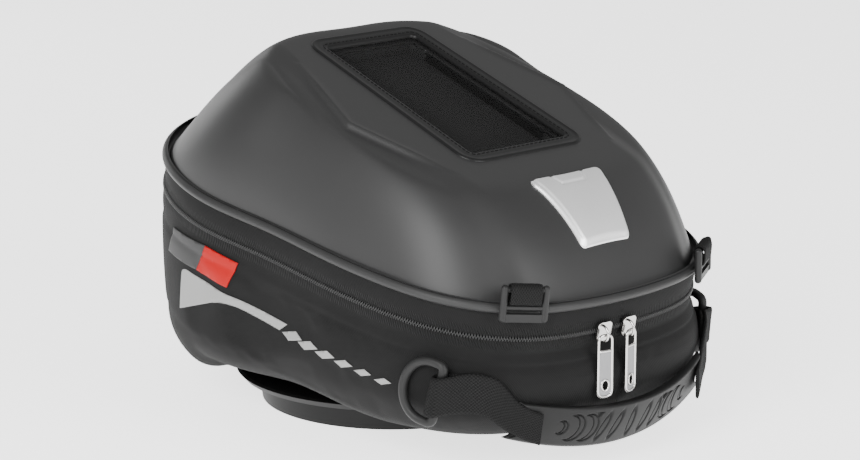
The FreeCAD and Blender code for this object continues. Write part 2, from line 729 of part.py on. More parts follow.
def build():
    dome = dome_solid(0, 0, 0)
    base = base_solid(0, 0, BASE_TOP)
    skin = wall_skin(0.3)
    parts = {
        "lid_shell": make_lid_shell(dome),
        "lid_lining": make_lid_lining(),
        "lid_band": make_lid_band(),
        "lid_piping": make_piping(),
        "zip_tape_upper": tape(SPLIT + TAPE_GAP, SPLIT + TAPE_WIDTH - 0.05),
        "zip_coil_upper": coil(SPLIT + COIL_GAP, SPLIT + COIL_GAP + COIL),
        "window_frame": make_window_frame(),
        "window_film": make_film(),
        "phone_pocket": make_pocket(),
        "badge": make_badge(dome),
        "base_shell": make_base_shell(base),
        "base_lining": make_base_lining(),
        "floor_board": make_floor_board(),
        "backing_ring": make_backing_ring(),
        "zip_tape_lower": tape(SPLIT - TAPE_WIDTH + 0.05, SPLIT - TAPE_GAP),
        "zip_coil_lower": coil(SPLIT - COIL_GAP - COIL, SPLIT - COIL_GAP),
        "hinge_cloth_base": make_hinge_cloth(SPLIT - TAPE_WIDTH + 0.05, SPLIT - 0.15),
        "hinge_cloth_lid": make_hinge_cloth(SPLIT + 0.15, SPLIT + TAPE_WIDTH - 0.05),
        "side_label": make_label(skin),
        "lock_ring": make_lock_ring(),
        "lock_plate": make_lock_plate(),
        "lock_screws": make_screws(),
        "lock_nuts": make_nuts(),
        "release_latch": make_latch(),
        "handle_grip": make_grip(),
        "slider_left": make_slider(SLIDER_U[0], 1),
        "slider_right": make_slider(SLIDER_U[1], -1),
        "puller_left": make_puller(SLIDER_U[0], PULLER_TURN[0]),
        "puller_right": make_puller(SLIDER_U[1], PULLER_TURN[1]),
    }
    right = {"buckle": make_buckle(), "buckle_tab": make_buckle_tab(), "d_ring": make_d_ring(),
             "handle_strap": make_handle_strap(), "wall_strap": make_wall_strap()}
    for name, side in SIDES:
        for kind, shape in right.items():
            parts[kind + "_" + name] = shape if side > 0 else mirrored(shape)
        parts["reflective_" + name] = make_reflective(skin, side)
    return parts


def main():
    os.makedirs("parts", exist_ok=True)
    for name, shape in build().items():
        solids = shape.Solids
        print("%-18s %d solids, valid %s, %.0f mm3" % (name, len(solids), shape.isValid(), shape.Volume))
        if len(solids) == 1:
            shape = solids[0]
        shape.exportStep("parts/" + name + ".step")


main()
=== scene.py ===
import math
import bmesh
import bpy
import numpy as np
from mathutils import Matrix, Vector
from mathutils.bvhtree import BVHTree


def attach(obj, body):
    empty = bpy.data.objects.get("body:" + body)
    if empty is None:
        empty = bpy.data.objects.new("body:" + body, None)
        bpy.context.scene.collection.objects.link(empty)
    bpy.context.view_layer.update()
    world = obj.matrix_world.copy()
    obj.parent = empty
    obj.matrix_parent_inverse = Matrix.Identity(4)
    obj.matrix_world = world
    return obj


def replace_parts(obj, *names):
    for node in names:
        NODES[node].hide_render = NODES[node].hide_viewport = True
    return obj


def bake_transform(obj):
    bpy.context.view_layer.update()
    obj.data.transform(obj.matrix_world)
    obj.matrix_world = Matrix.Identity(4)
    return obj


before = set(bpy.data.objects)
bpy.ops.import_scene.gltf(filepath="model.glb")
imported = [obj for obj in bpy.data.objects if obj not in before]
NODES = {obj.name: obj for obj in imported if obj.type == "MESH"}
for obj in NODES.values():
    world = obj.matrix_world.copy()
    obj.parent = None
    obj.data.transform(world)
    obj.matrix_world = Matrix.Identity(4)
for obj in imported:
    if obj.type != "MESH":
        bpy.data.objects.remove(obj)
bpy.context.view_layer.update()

MM = 0.001

# --- geometry of the bag, in millimetres ---
TILT = math.radians(10.4)
CT, ST = math.cos(TILT), math.sin(TILT)
EDGE_H = 118.1
SPLIT = -16.3
SIDE = ((0, -174), (26, -172.6), (52, -167.5), (75, -155), (92, -134),
        (101, -107), (106, -70), (108.5, -20), (112.3, 16.2))
FAR_R, FAR_V = 112.3, 16.2
WIN_HALF, WIN_NEAR, WIN_FAR, WIN_RAD = 42.0, -97.0, 40.0, 11.0
WIN_MID = (WIN_NEAR + WIN_FAR) / 2
CORNER_Z, FLOOR_Z, CORNER_IN, BULGE = 50.0, 18.0, 28.0, 1.5
WALL = 4.2                  # from the outer skin to the lining
AROUND = 360


def edge(u, v, w):
    """Point in the part's frame; u and v lie in the zip's tilted plane, w is the height over it."""
    u, v, w = np.broadcast_arrays(np.asarray(u, float), np.asarray(v, float), np.asarray(w, float))
    return np.stack([u, v * CT - w * ST, EDGE_H + v * ST + w * CT], -1)


EDGE_UP = np.array([0.0, -ST, CT])


def knots():
    """Points of the bag's outline: the given side, a round far end, and the side mirrored."""
    right = list(SIDE) + [(FAR_R * math.cos(a), FAR_V + FAR_R * math.sin(a))
                          for a in np.radians((22.5, 45, 67.5, 90))]
    return np.array(right + [(-u, v) for u, v in right[-2:0:-1]], float)


def run_along(points):
    """Length from the first point to each point of a path."""
    return np.concatenate([[0], np.cumsum(np.linalg.norm(np.diff(points, axis=0), axis=1))])


class Loop:
    """Closed cubic spline through points, by chord length."""

    def __init__(self, points):
        self.p = points
        n = len(points)
        self.h = np.linalg.norm(np.roll(points, -1, 0) - points, axis=1)
        self.t = np.concatenate([[0], np.cumsum(self.h)])
        a = np.zeros((n, n))
        b = np.zeros((n, 2))
        for i in range(n):
            j, k = (i - 1) % n, (i + 1) % n
            a[i, j] += self.h[j]
            a[i, i] += 2 * (self.h[j] + self.h[i])
            a[i, k] += self.h[i]
            b[i] = 6 * ((points[k] - points[i]) / self.h[i] - (points[i] - points[j]) / self.h[j])
        self.m = np.linalg.solve(a, b)

    def at(self, share):
        n = len(self.p)
        t = (np.asarray(share, float) % 1.0) * self.t[-1]
        i = np.clip(np.searchsorted(self.t, t, side="right") - 1, 0, n - 1)
        k = (i + 1) % n
        h = self.h[i][:, None]
        a = (self.t[i + 1] - t)[:, None] / h
        b = 1 - a
        m0, m1, p0, p1 = self.m[i], self.m[k], self.p[i], self.p[k]
        point = a * p0 + b * p1 + ((a ** 3 - a) * m0 + (b ** 3 - b) * m1) * h * h / 6
        slope = (p1 - p0) / h + ((1 - 3 * a * a) * m0 + (3 * b * b - 1) * m1) * h / 6
        slope /= np.linalg.norm(slope, axis=1)[:, None]
        return point, slope


OUTLINE = Loop(knots())


def outline(share, offset=0.0):
    """(u, v) on the outline, pushed outwards by offset."""
    point, slope = OUTLINE.at(share)
    return point + np.stack([slope[:, 1], -slope[:, 0]], 1) * np.reshape(offset, (-1, 1))


SHARES = np.arange(AROUND) / AROUND
_dense = outline(np.arange(2000) / 2000)
_ang = np.unwrap(np.arctan2(_dense[:, 1], _dense[:, 0]))
_rad = np.hypot(_dense[:, 0], _dense[:, 1])
_len = run_along(np.vstack([_dense, _dense[:1]]))
PERIMETER = _len[-1]


def along_mm(share):
    return np.interp(np.asarray(share) % 1.0, np.arange(2001) / 2000, _len)


def share_at_mm(length):
    return np.interp(np.asarray(length) % PERIMETER, _len, np.arange(2001) / 2000)


def edge_radius(angle):
    return np.interp(angle, _ang, _rad, period=2 * math.pi)


def smooth(a, b, x):
    t = np.clip((x - a) / (b - a), 0, 1)
    return t * t * (3 - 2 * t)


TOP_AT_MIDDLE, TOP_SLOPE = 65.3, 0.162     # the flat top round the window
SIDE_POWER, FAR_POWER, NEAR_POWER = 3.0, 2.08, 14.0
SIDE_CURL, FAR_CURL, NEAR_CURL = 0.45, 1.48, 1.44
TOP_BLEND = 1.2


def top_plane(v):
    return TOP_AT_MIDDLE + TOP_SLOPE * v


def dome_w(u, v, inset=0.0):
    """Height of the lid's skin over the edge plane."""
    u, v = np.broadcast_arrays(np.asarray(u, float), np.asarray(v, float))
    reach = np.maximum(np.hypot(u, v), 1e-6)
    share = reach / (edge_radius(np.arctan2(v, u)) - inset)
    far = np.maximum(v / reach, 0) ** 2
    near = np.maximum(-v / reach, 0) ** 2
    power = SIDE_POWER + (FAR_POWER - SIDE_POWER) * far + (NEAR_POWER - SIDE_POWER) * near
    curl = SIDE_CURL + (FAR_CURL - SIDE_CURL) * far + (NEAR_CURL - SIDE_CURL) * near
    crown = 84.4 + 0.186 * v - 9.7 * (v / 100) ** 2
    crown = crown * np.maximum(1 - np.clip(share, 0, 1) ** power, 0) ** curl
    gap = (crown - top_plane(v)) / TOP_BLEND
    rounded = np.minimum(crown, top_plane(v)) - TOP_BLEND * np.log1p(np.exp(-np.abs(gap)))
    return np.where(share <= 0.3, top_plane(v), rounded)


def line_side(u, v, points):
    """Distance to a polyline in (|u|, v), positive on the window's side of it."""
    best = np.full(u.shape, 1e9)
    sign = np.ones(u.shape)
    share = np.zeros(u.shape)
    for i, (a, b) in enumerate(zip(points, points[1:])):
        d = np.array(b, float) - a
        t = np.clip(((u - a[0]) * d[0] + (v - a[1]) * d[1]) / d.dot(d), 0, 1)
        du, dv = u - a[0] - t * d[0], v - a[1] - t * d[1]
        dist = np.hypot(du, dv)
        near = dist < best
        best = np.where(near, dist, best)
        sign = np.where(near, np.sign(du * d[1] - dv * d[0]), sign)
        share = np.where(near, (i + t) / (len(points) - 1), share)
    return best * sign, share


FACET = ((60.0, 20.0), (78.5, -42.0), (59.0, -97.0))
CREASE = ((66.0, 46.0), (79.0, 6.0), (86.0, -30.0), (88.0, -62.0))


def moulding(u, v):
    """The lid's pressed-in facets beside the window and the crease outside them."""
    a = np.abs(u)
    d, share = line_side(a, v, FACET)
    d = -d
    inner = a - (55.5 + 2.0 * np.cos(np.pi * (v + 40) / 120))
    depth = 2.5 * smooth(0, 2.6, d) * smooth(0, 15, inner)
    lip = 0.55 * np.exp(-(d / 2.2) ** 2) * smooth(0.0, 0.18, share) * (1 - smooth(0.8, 1.0, share))
    d2, share2 = line_side(a, v, CREASE)
    fade = smooth(0.0, 0.15, share2) * (1 - smooth(0.45, 1.0, share2))
    step = 0.6 * fade * np.exp(-(d2 / 1.8) ** 2) - 0.4 * fade * np.exp(-((d2 - 6.0) / 5.0) ** 2)
    return lip - depth - step


def lid_height(u, v, inset=0.0, plain=False):
    w = dome_w(u, v, inset)
    return w if plain else w + moulding(u, v)


def rounded_rect(margin, count):
    """Closed (u, v) path of the window, shrunk by margin, with even steps."""
    hu, hv = WIN_HALF - margin, (WIN_FAR - WIN_NEAR) / 2 - margin
    r = max(WIN_RAD - margin, 2.5)
    path = []
    cu, cv = hu - r, hv - r
    for mu, mv, start in ((cu, -cv, -90), (cu, cv, 0), (-cu, cv, 90), (-cu, -cv, 180)):
        for a in np.radians(np.linspace(start, start + 90, 9)):
            path.append((mu + r * math.cos(a), mv + r * math.sin(a)))
    path = np.array(path)
    closed = np.vstack([path, path[:1]])
    run = run_along(closed)
    t = np.arange(count) / count * run[-1]
    u = np.interp(t, run, closed[:, 0])
    v = np.interp(t, run, closed[:, 1])
    taper = 1 + 0.035 * (-v / hv)
    return np.stack([u * taper, v + WIN_MID], 1), t


# --- mesh helpers ---
def add_mesh(name, verts, faces, uv=None, sharp=None):
    """New object from points in millimetres. uv holds one (u, v) per point, in millimetres."""
    mesh = bpy.data.meshes.new(name)
    mesh.from_pydata([tuple(p) for p in (np.asarray(verts, float) * MM)], [], [tuple(f) for f in faces])
    if uv is not None:
        layer = mesh.uv_layers.new(name="weave")
        index = np.empty(len(mesh.loops), int)
        mesh.loops.foreach_get("vertex_index", index)
        layer.data.foreach_set("uv", (np.asarray(uv, float)[index] * MM).ravel())
    mesh.polygons.foreach_set("use_smooth", [True] * len(mesh.polygons))
    if sharp:
        mesh.set_sharp_from_angle(angle=math.radians(sharp))
    mesh.update()
    obj = bpy.data.objects.new(name, mesh)
    bpy.context.scene.collection.objects.link(obj)
    return obj


def strip_faces(rows, cols, close_rows=False, close_cols=True, flip=False):
    """Quads of a grid; cols run fastest."""
    faces = []
    for i in range(rows if close_rows else rows - 1):
        for j in range(cols if close_cols else cols - 1):
            a, b = i * cols + j, i * cols + (j + 1) % cols
            c, d = ((i + 1) % rows) * cols + (j + 1) % cols, ((i + 1) % rows) * cols + j
            faces.append((a, d, c, b) if flip else (a, b, c, d))
    return faces


def grid(name, rows, uv=None, close_rows=False, close_cols=True, flip=False, sharp=None, caps=()):
    """Mesh from a (rows, cols, 3) array."""
    rows = np.asarray(rows, float)
    n, m = rows.shape[:2]
    faces = strip_faces(n, m, close_rows, close_cols, flip)
    if "first" in caps:
        faces.append(tuple(range(m))[::1 if flip else -1])
    if "last" in caps:
        faces.append(tuple((n - 1) * m + j for j in range(m))[::-1 if flip else 1])
    if uv is not None:
        uv = np.asarray(uv).reshape(-1, 2)
    return add_mesh(name, rows.reshape(-1, 3), faces, uv, sharp)


def tidy_normals(obj):
    """Turn every face outwards."""
    bm = bmesh.new()
    bm.from_mesh(obj.data)
    bmesh.ops.recalc_face_normals(bm, faces=bm.faces)
    bm.to_mesh(obj.data)
    bm.free()
    return obj


def smooth_path(points, count):
    """Centripetal-like curve through points, resampled evenly."""
    p = np.asarray(points, float)
    ext = np.vstack([2 * p[0] - p[1], p, 2 * p[-1] - p[-2]])
    out = []
    for i in range(1, len(ext) - 2):
        a, b, c, d = ext[i - 1:i + 3]
        for t in np.linspace(0, 1, 12, endpoint=False):
            out.append(0.5 * (2 * b + (c - a) * t + (2 * a - 5 * b + 4 * c - d) * t * t
                              + (3 * b - a - 3 * c + d) * t ** 3))
    out.append(p[-1])
    out = np.array(out)
    run = run_along(out)
    t = np.linspace(0, run[-1], count)
    return np.stack([np.interp(t, run, out[:, k]) for k in range(3)], 1)


def unit(a):
    a = np.asarray(a, float)
    return a / np.maximum(np.linalg.norm(a, axis=-1, keepdims=True), 1e-9)


def round_sweep(name, path, radius, closed=False, sides=14, flat=None):
    """Round bar along a path, its ends domed; flat = (direction, factor) presses it along one direction."""
    path = np.asarray(path, float)
    ahead = np.roll(path, -1, 0) - np.roll(path, 1, 0) if closed else np.gradient(path, axis=0)
    ahead = unit(ahead)
    radii = np.broadcast_to(np.asarray(radius, float), (len(path),)).copy()
    if not closed:
        r0, r1 = radii[0], radii[-1]
        lead = [path[0] - ahead[0] * r0 * k for k in (0.95, 0.7, 0.35)]
        tail = [path[-1] + ahead[-1] * r1 * k for k in (0.35, 0.7, 0.95)]
        path = np.vstack([lead, path, tail])
        ahead = np.vstack([[ahead[0]] * 3, ahead, [ahead[-1]] * 3])
        cap = np.array([0.3, 0.71, 0.94])
        radii = np.concatenate([r0 * cap, radii, r1 * cap[::-1]])
    side = np.cross(ahead[0], (0.123, 0.456, 0.88))
    rows = []
    for i in range(len(path)):
        side = unit(side - ahead[i] * side.dot(ahead[i]))
        other = np.cross(ahead[i], side)
        ang = np.arange(sides) / sides * 2 * math.pi
        ring = np.cos(ang)[:, None] * side + np.sin(ang)[:, None] * other
        if flat is not None:
            axis = unit(flat[0])
            ring = ring - np.outer(ring @ axis, axis) * (1 - flat[1])
        rows.append(path[i] + ring * radii[i])
    return tidy_normals(grid(name, rows, close_rows=closed, caps=() if closed else ("first", "last")))


def webbing(name, path, ups, widths, thick, square=1.0):
    """Flat strap with rounded edges along a path; ups point across its width, squared to the path."""
    path = np.asarray(path, float)
    n = len(path)
    ups = unit(np.broadcast_to(ups, (n, 3)))
    widths = np.broadcast_to(np.asarray(widths, float), (n,))
    ahead = unit(np.gradient(path, axis=0))
    ups = unit(ups - ahead * (ups * ahead).sum(1, keepdims=True) * square)
    face = unit(np.cross(ahead, ups))
    across = np.linspace(-0.5, 0.5, 15)
    run = run_along(path)
    rows, uvs = [], []
    half = thick / 2
    for i in range(n):
        ring, tex = [], []
        for s in across:
            lift = half * (1 - 0.55 * smooth(0.42, 0.5, abs(s)))
            ring.append(path[i] + ups[i] * s * widths[i] + face[i] * lift)
            tex.append((run[i], s * 21.0))
        for s in across[::-1]:
            lift = half * (1 - 0.55 * smooth(0.42, 0.5, abs(s)))
            ring.append(path[i] + ups[i] * s * widths[i] - face[i] * lift)
            tex.append((run[i], s * 21.0 + 60))
        rows.append(ring)
        uvs.append(tex)
    return tidy_normals(grid(name, rows, uvs, caps=("first", "last")))


def join(name, objects):
    """One object from several, in the first one's place."""
    bm = bmesh.new()
    for o in objects:
        bm.from_mesh(o.data)
    mesh = bpy.data.meshes.new(name)
    bm.to_mesh(mesh)
    bm.free()
    for o in objects:
        old = o.data
        bpy.data.objects.remove(o)
        bpy.data.meshes.remove(old)
    obj = bpy.data.objects.new(name, mesh)
    bpy.context.scene.collection.objects.link(obj)
    return obj


# --- materials ---
def shade_of(value):
    """Colour with alpha; a single number is a neutral grey."""
    return (*value, 1) if isinstance(value, tuple) else (value, value, value, 1)


class Shade:
    """Small helper that builds a procedural material."""

    def __init__(self, name, rough=0.6, **values):
        self.mat = bpy.data.materials.new(name)
        self.mat.use_nodes = True
        self.tree = self.mat.node_tree
        self.bsdf = self.tree.nodes["Principled BSDF"]
        self.bsdf.inputs["Roughness"].default_value = rough
        for key, value in values.items():
            self.bsdf.inputs[key.replace("_", " ")].default_value = value
        self.normal = None

    def node(self, kind, **inputs):
        node = self.tree.nodes.new(kind)
        for key, value in inputs.items():
            self.feed(node.inputs[key.replace("_", " ")], value)
        return node

    def feed(self, socket, value):
        """Link another node's output to the socket, or set it to a plain value."""
        if hasattr(value, "links"):
            self.tree.links.new(value, socket)
        else:
            socket.default_value = value

    def coords(self, weave=False):
        if weave:
            node = self.tree.nodes.new("ShaderNodeUVMap")
            node.uv_map = "weave"
            return node.outputs["UV"]
        node = self.tree.nodes.new("ShaderNodeTexCoord")
        return node.outputs["Object"]

    def math(self, kind, a, b=None):
        node = self.tree.nodes.new("ShaderNodeMath")
        node.operation = kind
        self.feed(node.inputs[0], a)
        if b is not None:
            self.feed(node.inputs[1], b)
        return node.outputs[0]

    def noise(self, coords, scale, detail=3.0, rough=0.55):
        node = self.node("ShaderNodeTexNoise", Vector=coords, Scale=scale, Detail=detail, Roughness=rough)
        return node.outputs["Fac"]

    def wave(self, coords, axis_mix, period_mm):
        """Sine lines across the direction axis_mix of the coordinates, one every period_mm."""
        sep = self.node("ShaderNodeSeparateXYZ", Vector=coords)
        total = None
        for i, part in enumerate(axis_mix):
            if not part:
                continue
            term = self.math("MULTIPLY", sep.outputs[i], part * 2 * math.pi / (period_mm * MM))
            total = term if total is None else self.math("ADD", total, term)
        return self.math("SINE", total)

    def color(self, fac, low, high, under=None):
        """Base colour between low and high; under is a colour output that takes the place of low."""
        node = self.tree.nodes.new("ShaderNodeMix")
        node.data_type = "RGBA"
        node.inputs[6].default_value = shade_of(low)
        if under is not None:
            self.tree.links.new(under, node.inputs[6])
        node.inputs[7].default_value = shade_of(high)
        self.tree.links.new(fac, node.inputs[0])
        self.tree.links.new(node.outputs[2], self.bsdf.inputs["Base Color"])
        return node.outputs[2]

    def span(self, fac, low, high, socket):
        node = self.node("ShaderNodeMapRange", Value=fac, To_Min=low, To_Max=high)
        self.tree.links.new(node.outputs[0], self.bsdf.inputs[socket])

    def bump(self, height, distance_mm, strength=1.0):
        node = self.node("ShaderNodeBump", Height=height, Distance=distance_mm * MM, Strength=strength)
        if self.normal:
            self.tree.links.new(self.normal, node.inputs["Normal"])
        self.normal = node.outputs["Normal"]
        self.tree.links.new(self.normal, self.bsdf.inputs["Normal"])


def soft_touch():
    m = Shade("soft_touch_skin", 0.42, Specular_IOR_Level=0.30)
    xyz = m.coords()
    broad = m.noise(xyz, 18.0, 4.0)
    fine = m.noise(xyz, 1500.0, 2.0)
    m.color(broad, 0.018, 0.023)
    m.span(broad, 0.38, 0.50, "Roughness")
    m.bump(fine, 0.03, 0.6)
    m.bump(m.noise(xyz, 60.0, 2.0), 0.12, 0.25)
    return m.mat


def twill(name, ribs_at, low=0.002, high=0.0125, period=0.95):
    """Diagonal weave, with the zip tape's upright ribs between two distances down the cloth."""
    m = Shade(name, 0.85, Specular_IOR_Level=0.12)
    uv = m.coords(weave=True)
    xyz = m.coords()
    ribs = m.wave(uv, (0.82, 0.57, 0), period)
    threads = m.wave(uv, (0.35, -1.0, 0), period * 0.62)
    cloth = m.math("ADD", m.math("MULTIPLY", ribs, 0.36), m.math("MULTIPLY", threads, 0.18))
    cloth = m.math("ADD", cloth, 0.5)
    patch = m.noise(xyz, 45.0, 4.0)
    shade = m.math("ADD", m.math("MULTIPLY", cloth, 0.8), m.math("MULTIPLY", patch, 0.25))
    tape = m.wave(uv, (1, 0.45, 0), 1.4)
    down = m.node("ShaderNodeSeparateXYZ", Vector=uv).outputs[1]
    mask = m.node("ShaderNodeMapRange", Value=down, From_Min=ribs_at[0] * MM, From_Max=ribs_at[1] * MM)
    ribbed = m.math("MULTIPLY", tape, mask.outputs[0])
    m.color(m.math("ADD", shade, m.math("MULTIPLY", ribbed, 0.28)), low, high)
    m.bump(cloth, 0.12, 0.7)
    m.bump(patch, 0.5, 0.3)
    m.bump(ribbed, 0.2, 0.8)
    m.bsdf.inputs["Sheen Weight"].default_value = 0.03
    m.bsdf.inputs["Sheen Roughness"].default_value = 0.5
    return m.mat


def strap_cloth():
    m = Shade("strap_webbing", 0.8, Specular_IOR_Level=0.12)
    uv = m.coords(weave=True)
    a = m.wave(uv, (1, 0, 0), 1.9)
    b = m.wave(uv, (0, 1, 0), 1.75)
    cells = m.math("MULTIPLY", a, b)
    height = m.math("ADD", m.math("MULTIPLY", cells, 0.4), 0.5)
    m.color(height, 0.0012, 0.013)
    m.bump(height, 0.45, 0.85)
    m.bump(m.noise(m.coords(), 700.0, 2.0), 0.08, 0.4)
    return m.mat


def plain(name, low, high, rough=(0.4, 0.55), grain=600.0, depth=0.05, metal=0.0):
    m = Shade(name, rough[0], Metallic=metal, Specular_IOR_Level=0.5 if metal else 0.22)
    xyz = m.coords()
    patch = m.noise(xyz, 30.0, 4.0)
    m.color(patch, low, high)
    m.span(patch, rough[0], rough[1], "Roughness")
    m.bump(m.noise(xyz, grain, 2.0), depth, 0.5)
    return m.mat


def clear_film():
    m = Shade("clear_film", 0.12, Alpha=0.1, Specular_IOR_Level=0.3)
    xyz = m.coords()
    m.color(m.noise(xyz, 30.0, 2.0), 0.006, 0.012)
    m.span(m.noise(xyz, 50.0, 4.0), 0.08, 0.16, "Roughness")
    m.bump(m.noise(xyz, 14.0, 1.0), 0.3, 0.06)
    return m.mat


def grooved(name, low, high):
    """Moulded rubber whose pressed-in lines are painted darker, as painted shade in the grooves; the groove
    attribute says where they are.
    """
    m = Shade(name, 0.5, Specular_IOR_Level=0.2)
    xyz = m.coords()
    patch = m.noise(xyz, 30.0, 4.0)
    clean = m.color(patch, low, high)
    # painted shade: the base colour goes nearly black where the groove attribute marks the pressed-in lines
    groove_shade = m.tree.nodes.new("ShaderNodeAttribute")
    groove_shade.attribute_name = "groove"
    m.color(groove_shade.outputs["Fac"], low, 0.0012, clean)
    m.span(patch, 0.42, 0.55, "Roughness")
    m.bump(m.noise(xyz, 900.0, 2.0), 0.04, 0.5)
    return m.mat


MATS = {
    "soft_touch": soft_touch(),
    "twill": twill("twill_cloth", (-5.5, -4.5)),
    "band": twill("band_cloth", (-10.0, -11.0)),
    "lining": plain("lining_cloth", 0.004, 0.008, (0.75, 0.9), 900, 0.1),
    "tray": plain("tray_cloth", 0.004, 0.007, (0.8, 0.9), 300, 0.02),
    "webbing": strap_cloth(),
    "piping": plain("piping_rubber", 0.020, 0.026, (0.42, 0.55), 700, 0.05),
    "trim": plain("window_trim", 0.005, 0.008, (0.36, 0.48), 800, 0.06),
    "coil": plain("zip_nylon", 0.022, 0.034, (0.28, 0.4), 900, 0.03),
    "thread": plain("thread", 0.0015, 0.004, (0.6, 0.8), 1500, 0.05),
    "film": clear_film(),
    "silver": plain("badge_silver", 0.88, 0.94, (0.34, 0.44), 1200, 0.02, 0.8),
    "nickel": plain("polished_nickel", (0.50, 0.49, 0.48), (0.64, 0.63, 0.61), (0.10, 0.22), 500, 0.02, 1.0),
    "panel": plain("puller_panel", (0.20, 0.20, 0.205), (0.28, 0.28, 0.285), (0.35, 0.5), 900, 0.03, 0.8),
    "hard": plain("moulded_plastic", 0.010, 0.015, (0.40, 0.55), 800, 0.05),
    "ring": plain("ring_plastic", 0.002, 0.004, (0.45, 0.6), 700, 0.05),
    "grip": grooved("grip_rubber", 0.0045, 0.007),
    "print": plain("reflective_print", (0.22, 0.22, 0.215), (0.27, 0.27, 0.265), (0.5, 0.65),
                   1400, 0.05, 0.2),
    "tag_grey": plain("tag_grey", 0.030, 0.038, (0.5, 0.65), 1000, 0.05),
    "tag_red": plain("tag_red", (0.30, 0.0001, 0.0001), (0.35, 0.0002, 0.0002), (0.5, 0.65), 1000, 0.05),
    "steel": plain("zinc_steel", (0.45, 0.45, 0.46), 0.6, (0.25, 0.4), 800, 0.03, 1.0),
    "board": plain("stiffener", 0.03, 0.045, (0.6, 0.75), 500, 0.08),
}


def paint(obj, name):
    obj.data.materials.clear()
    obj.data.materials.append(MATS[name])
    return obj


# --- lid ---
def window_points(margin, share_points):
    """Where rays from the window's middle through the given (u, v) points cross the window's path."""
    path, _ = rounded_rect(margin, 720)
    angle = np.unwrap(np.arctan2(path[:, 1] - WIN_MID, path[:, 0]))
    order = np.argsort(angle % (2 * math.pi))
    want = np.arctan2(share_points[:, 1] - WIN_MID, share_points[:, 0]) % (2 * math.pi)
    key = (angle % (2 * math.pi))[order]
    return np.stack([np.interp(want, key, path[order, k], period=2 * math.pi) for k in (0, 1)], 1)


def lid_skin(name, inset, drop, margin, rows, skirt, plain_top=False, flip=False, lip=3.4):
    rim = outline(SHARES, -inset)
    hole = window_points(margin, rim)
    layers, uvs = [], []
    if skirt:
        layers.append(edge(rim[:, 0], rim[:, 1], -skirt))
        uvs.append(np.stack([along_mm(SHARES), np.full(AROUND, -skirt)], 1))
    for tau in np.linspace(0, 1, rows) ** 1.9:
        p = rim * (1 - tau) + hole * tau
        w = lid_height(p[:, 0], p[:, 1], inset, plain_top)
        w = np.maximum(w - drop * np.minimum(1, w / 25), 0.2 if tau else 0.0)
        layers.append(edge(p[:, 0], p[:, 1], w))
        uvs.append(np.stack([along_mm(SHARES), np.full(AROUND, 120 * tau)], 1))
    last = edge(hole[:, 0], hole[:, 1], lid_height(hole[:, 0], hole[:, 1], inset, plain_top) - drop - lip)
    layers.append(last)
    uvs.append(uvs[-1] + [0, 3])
    return grid(name, layers, uvs, flip=flip, sharp=60)


shell = paint(lid_skin("lid_skin", 0.0, 0.0, 5.0, 110, 1.5), "soft_touch")
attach(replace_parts(shell, "lid_shell"), "lid")
inner = paint(lid_skin("lid_inner_cloth", WALL, 4.0, 9.2, 40, 8.0, True, True, 0.5), "lining")
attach(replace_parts(inner, "lid_lining"), "lid")


def ring_band(name, profile, shares=SHARES, closed=True, flip=False):
    """Band round the outline from (offset, w) pairs, with the length along it and down it as uv."""
    profile = np.asarray(profile, float)
    down = run_along(profile)
    rows, uvs = [], []
    for (offset, w), drop in zip(profile, down):
        p = outline(shares, offset)
        rows.append(edge(p[:, 0], p[:, 1], w))
        uvs.append(np.stack([along_mm(shares), np.full(len(shares), -drop)], 1))
    return grid(name, rows, uvs, close_cols=closed, flip=flip, sharp=70)


CORD_OUT, CORD_HALF = 2.65, 2.55
cord_profile = [(0.35 + CORD_OUT * math.cos(a), -CORD_HALF * math.sin(a))
                for a in np.radians(np.linspace(-90, 90, 15))]
cord_profile = [(0.1, 3.3), (0.9, 3.0)] + cord_profile + [(0.9, -3.0), (0.1, -3.3)]
piping = paint(ring_band("edge_piping", cord_profile), "piping")
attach(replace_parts(piping, "lid_piping"), "lid")

BAND_LOW = SPLIT + 1.0
BAND_TOP = -3.2
band_profile = [(0.5 * math.sin(math.pi * t), BAND_TOP + (BAND_LOW - BAND_TOP) * t)
                for t in np.linspace(0, 1, 9)]
band_profile = [(-0.3, -0.2)] + band_profile + [(-0.9, BAND_LOW + 0.1), (-1.4, BAND_LOW + 0.9)]
upper_band = paint(ring_band("band_upper", band_profile), "band")
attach(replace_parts(upper_band, "lid_band", "zip_tape_upper"), "lid")

HINGE_GAP = 92.5     # the stretch at the far end that has no teeth
ZIP_LEN = (PERIMETER - HINGE_GAP) / 2
TOOTH_PITCH = 1.45
TOOTH_SIDES = 8


TOOTH = ((1.45, 0.1, 0.30, 0.3), (1.15, 0.75, 0.40, 0.42), (0.6, 1.05, 0.42, 0.45),
         (0.05, 1.0, 0.42, 0.45), (-0.35, 0.6, 0.3, 0.3))     # height, reach, half length, half thickness


def zip_teeth(name, sign):
    """One side of the coil: an even row of rounded teeth from hinge to hinge."""
    count = int(2 * ZIP_LEN / TOOTH_PITCH)
    shift = 0.0 if sign > 0 else 0.5
    share = share_at_mm(-ZIP_LEN + (np.arange(count) + shift) * TOOTH_PITCH)
    verts, faces = [], []
    for s in share:
        point, slope = OUTLINE.at([s])
        t, n = slope[0], np.array([slope[0][1], -slope[0][0]])
        base = len(verts)
        for w, out, half, thick in TOOTH:
            for a in np.arange(TOOTH_SIDES) / TOOTH_SIDES * 2 * math.pi:
                u, v = point[0] + t * half * math.cos(a) + n * (out - 0.35 + thick * math.sin(a))
                verts.append(edge(u, v, SPLIT + sign * w))
        faces += [[base + i for i in face] for face in strip_faces(len(TOOTH), TOOTH_SIDES)]
        last = base + (len(TOOTH) - 1) * TOOTH_SIDES
        faces.append([last + a for a in range(TOOTH_SIDES)])
        faces.append([base + a for a in range(TOOTH_SIDES)][::-1])
    return tidy_normals(add_mesh(name, verts, faces))


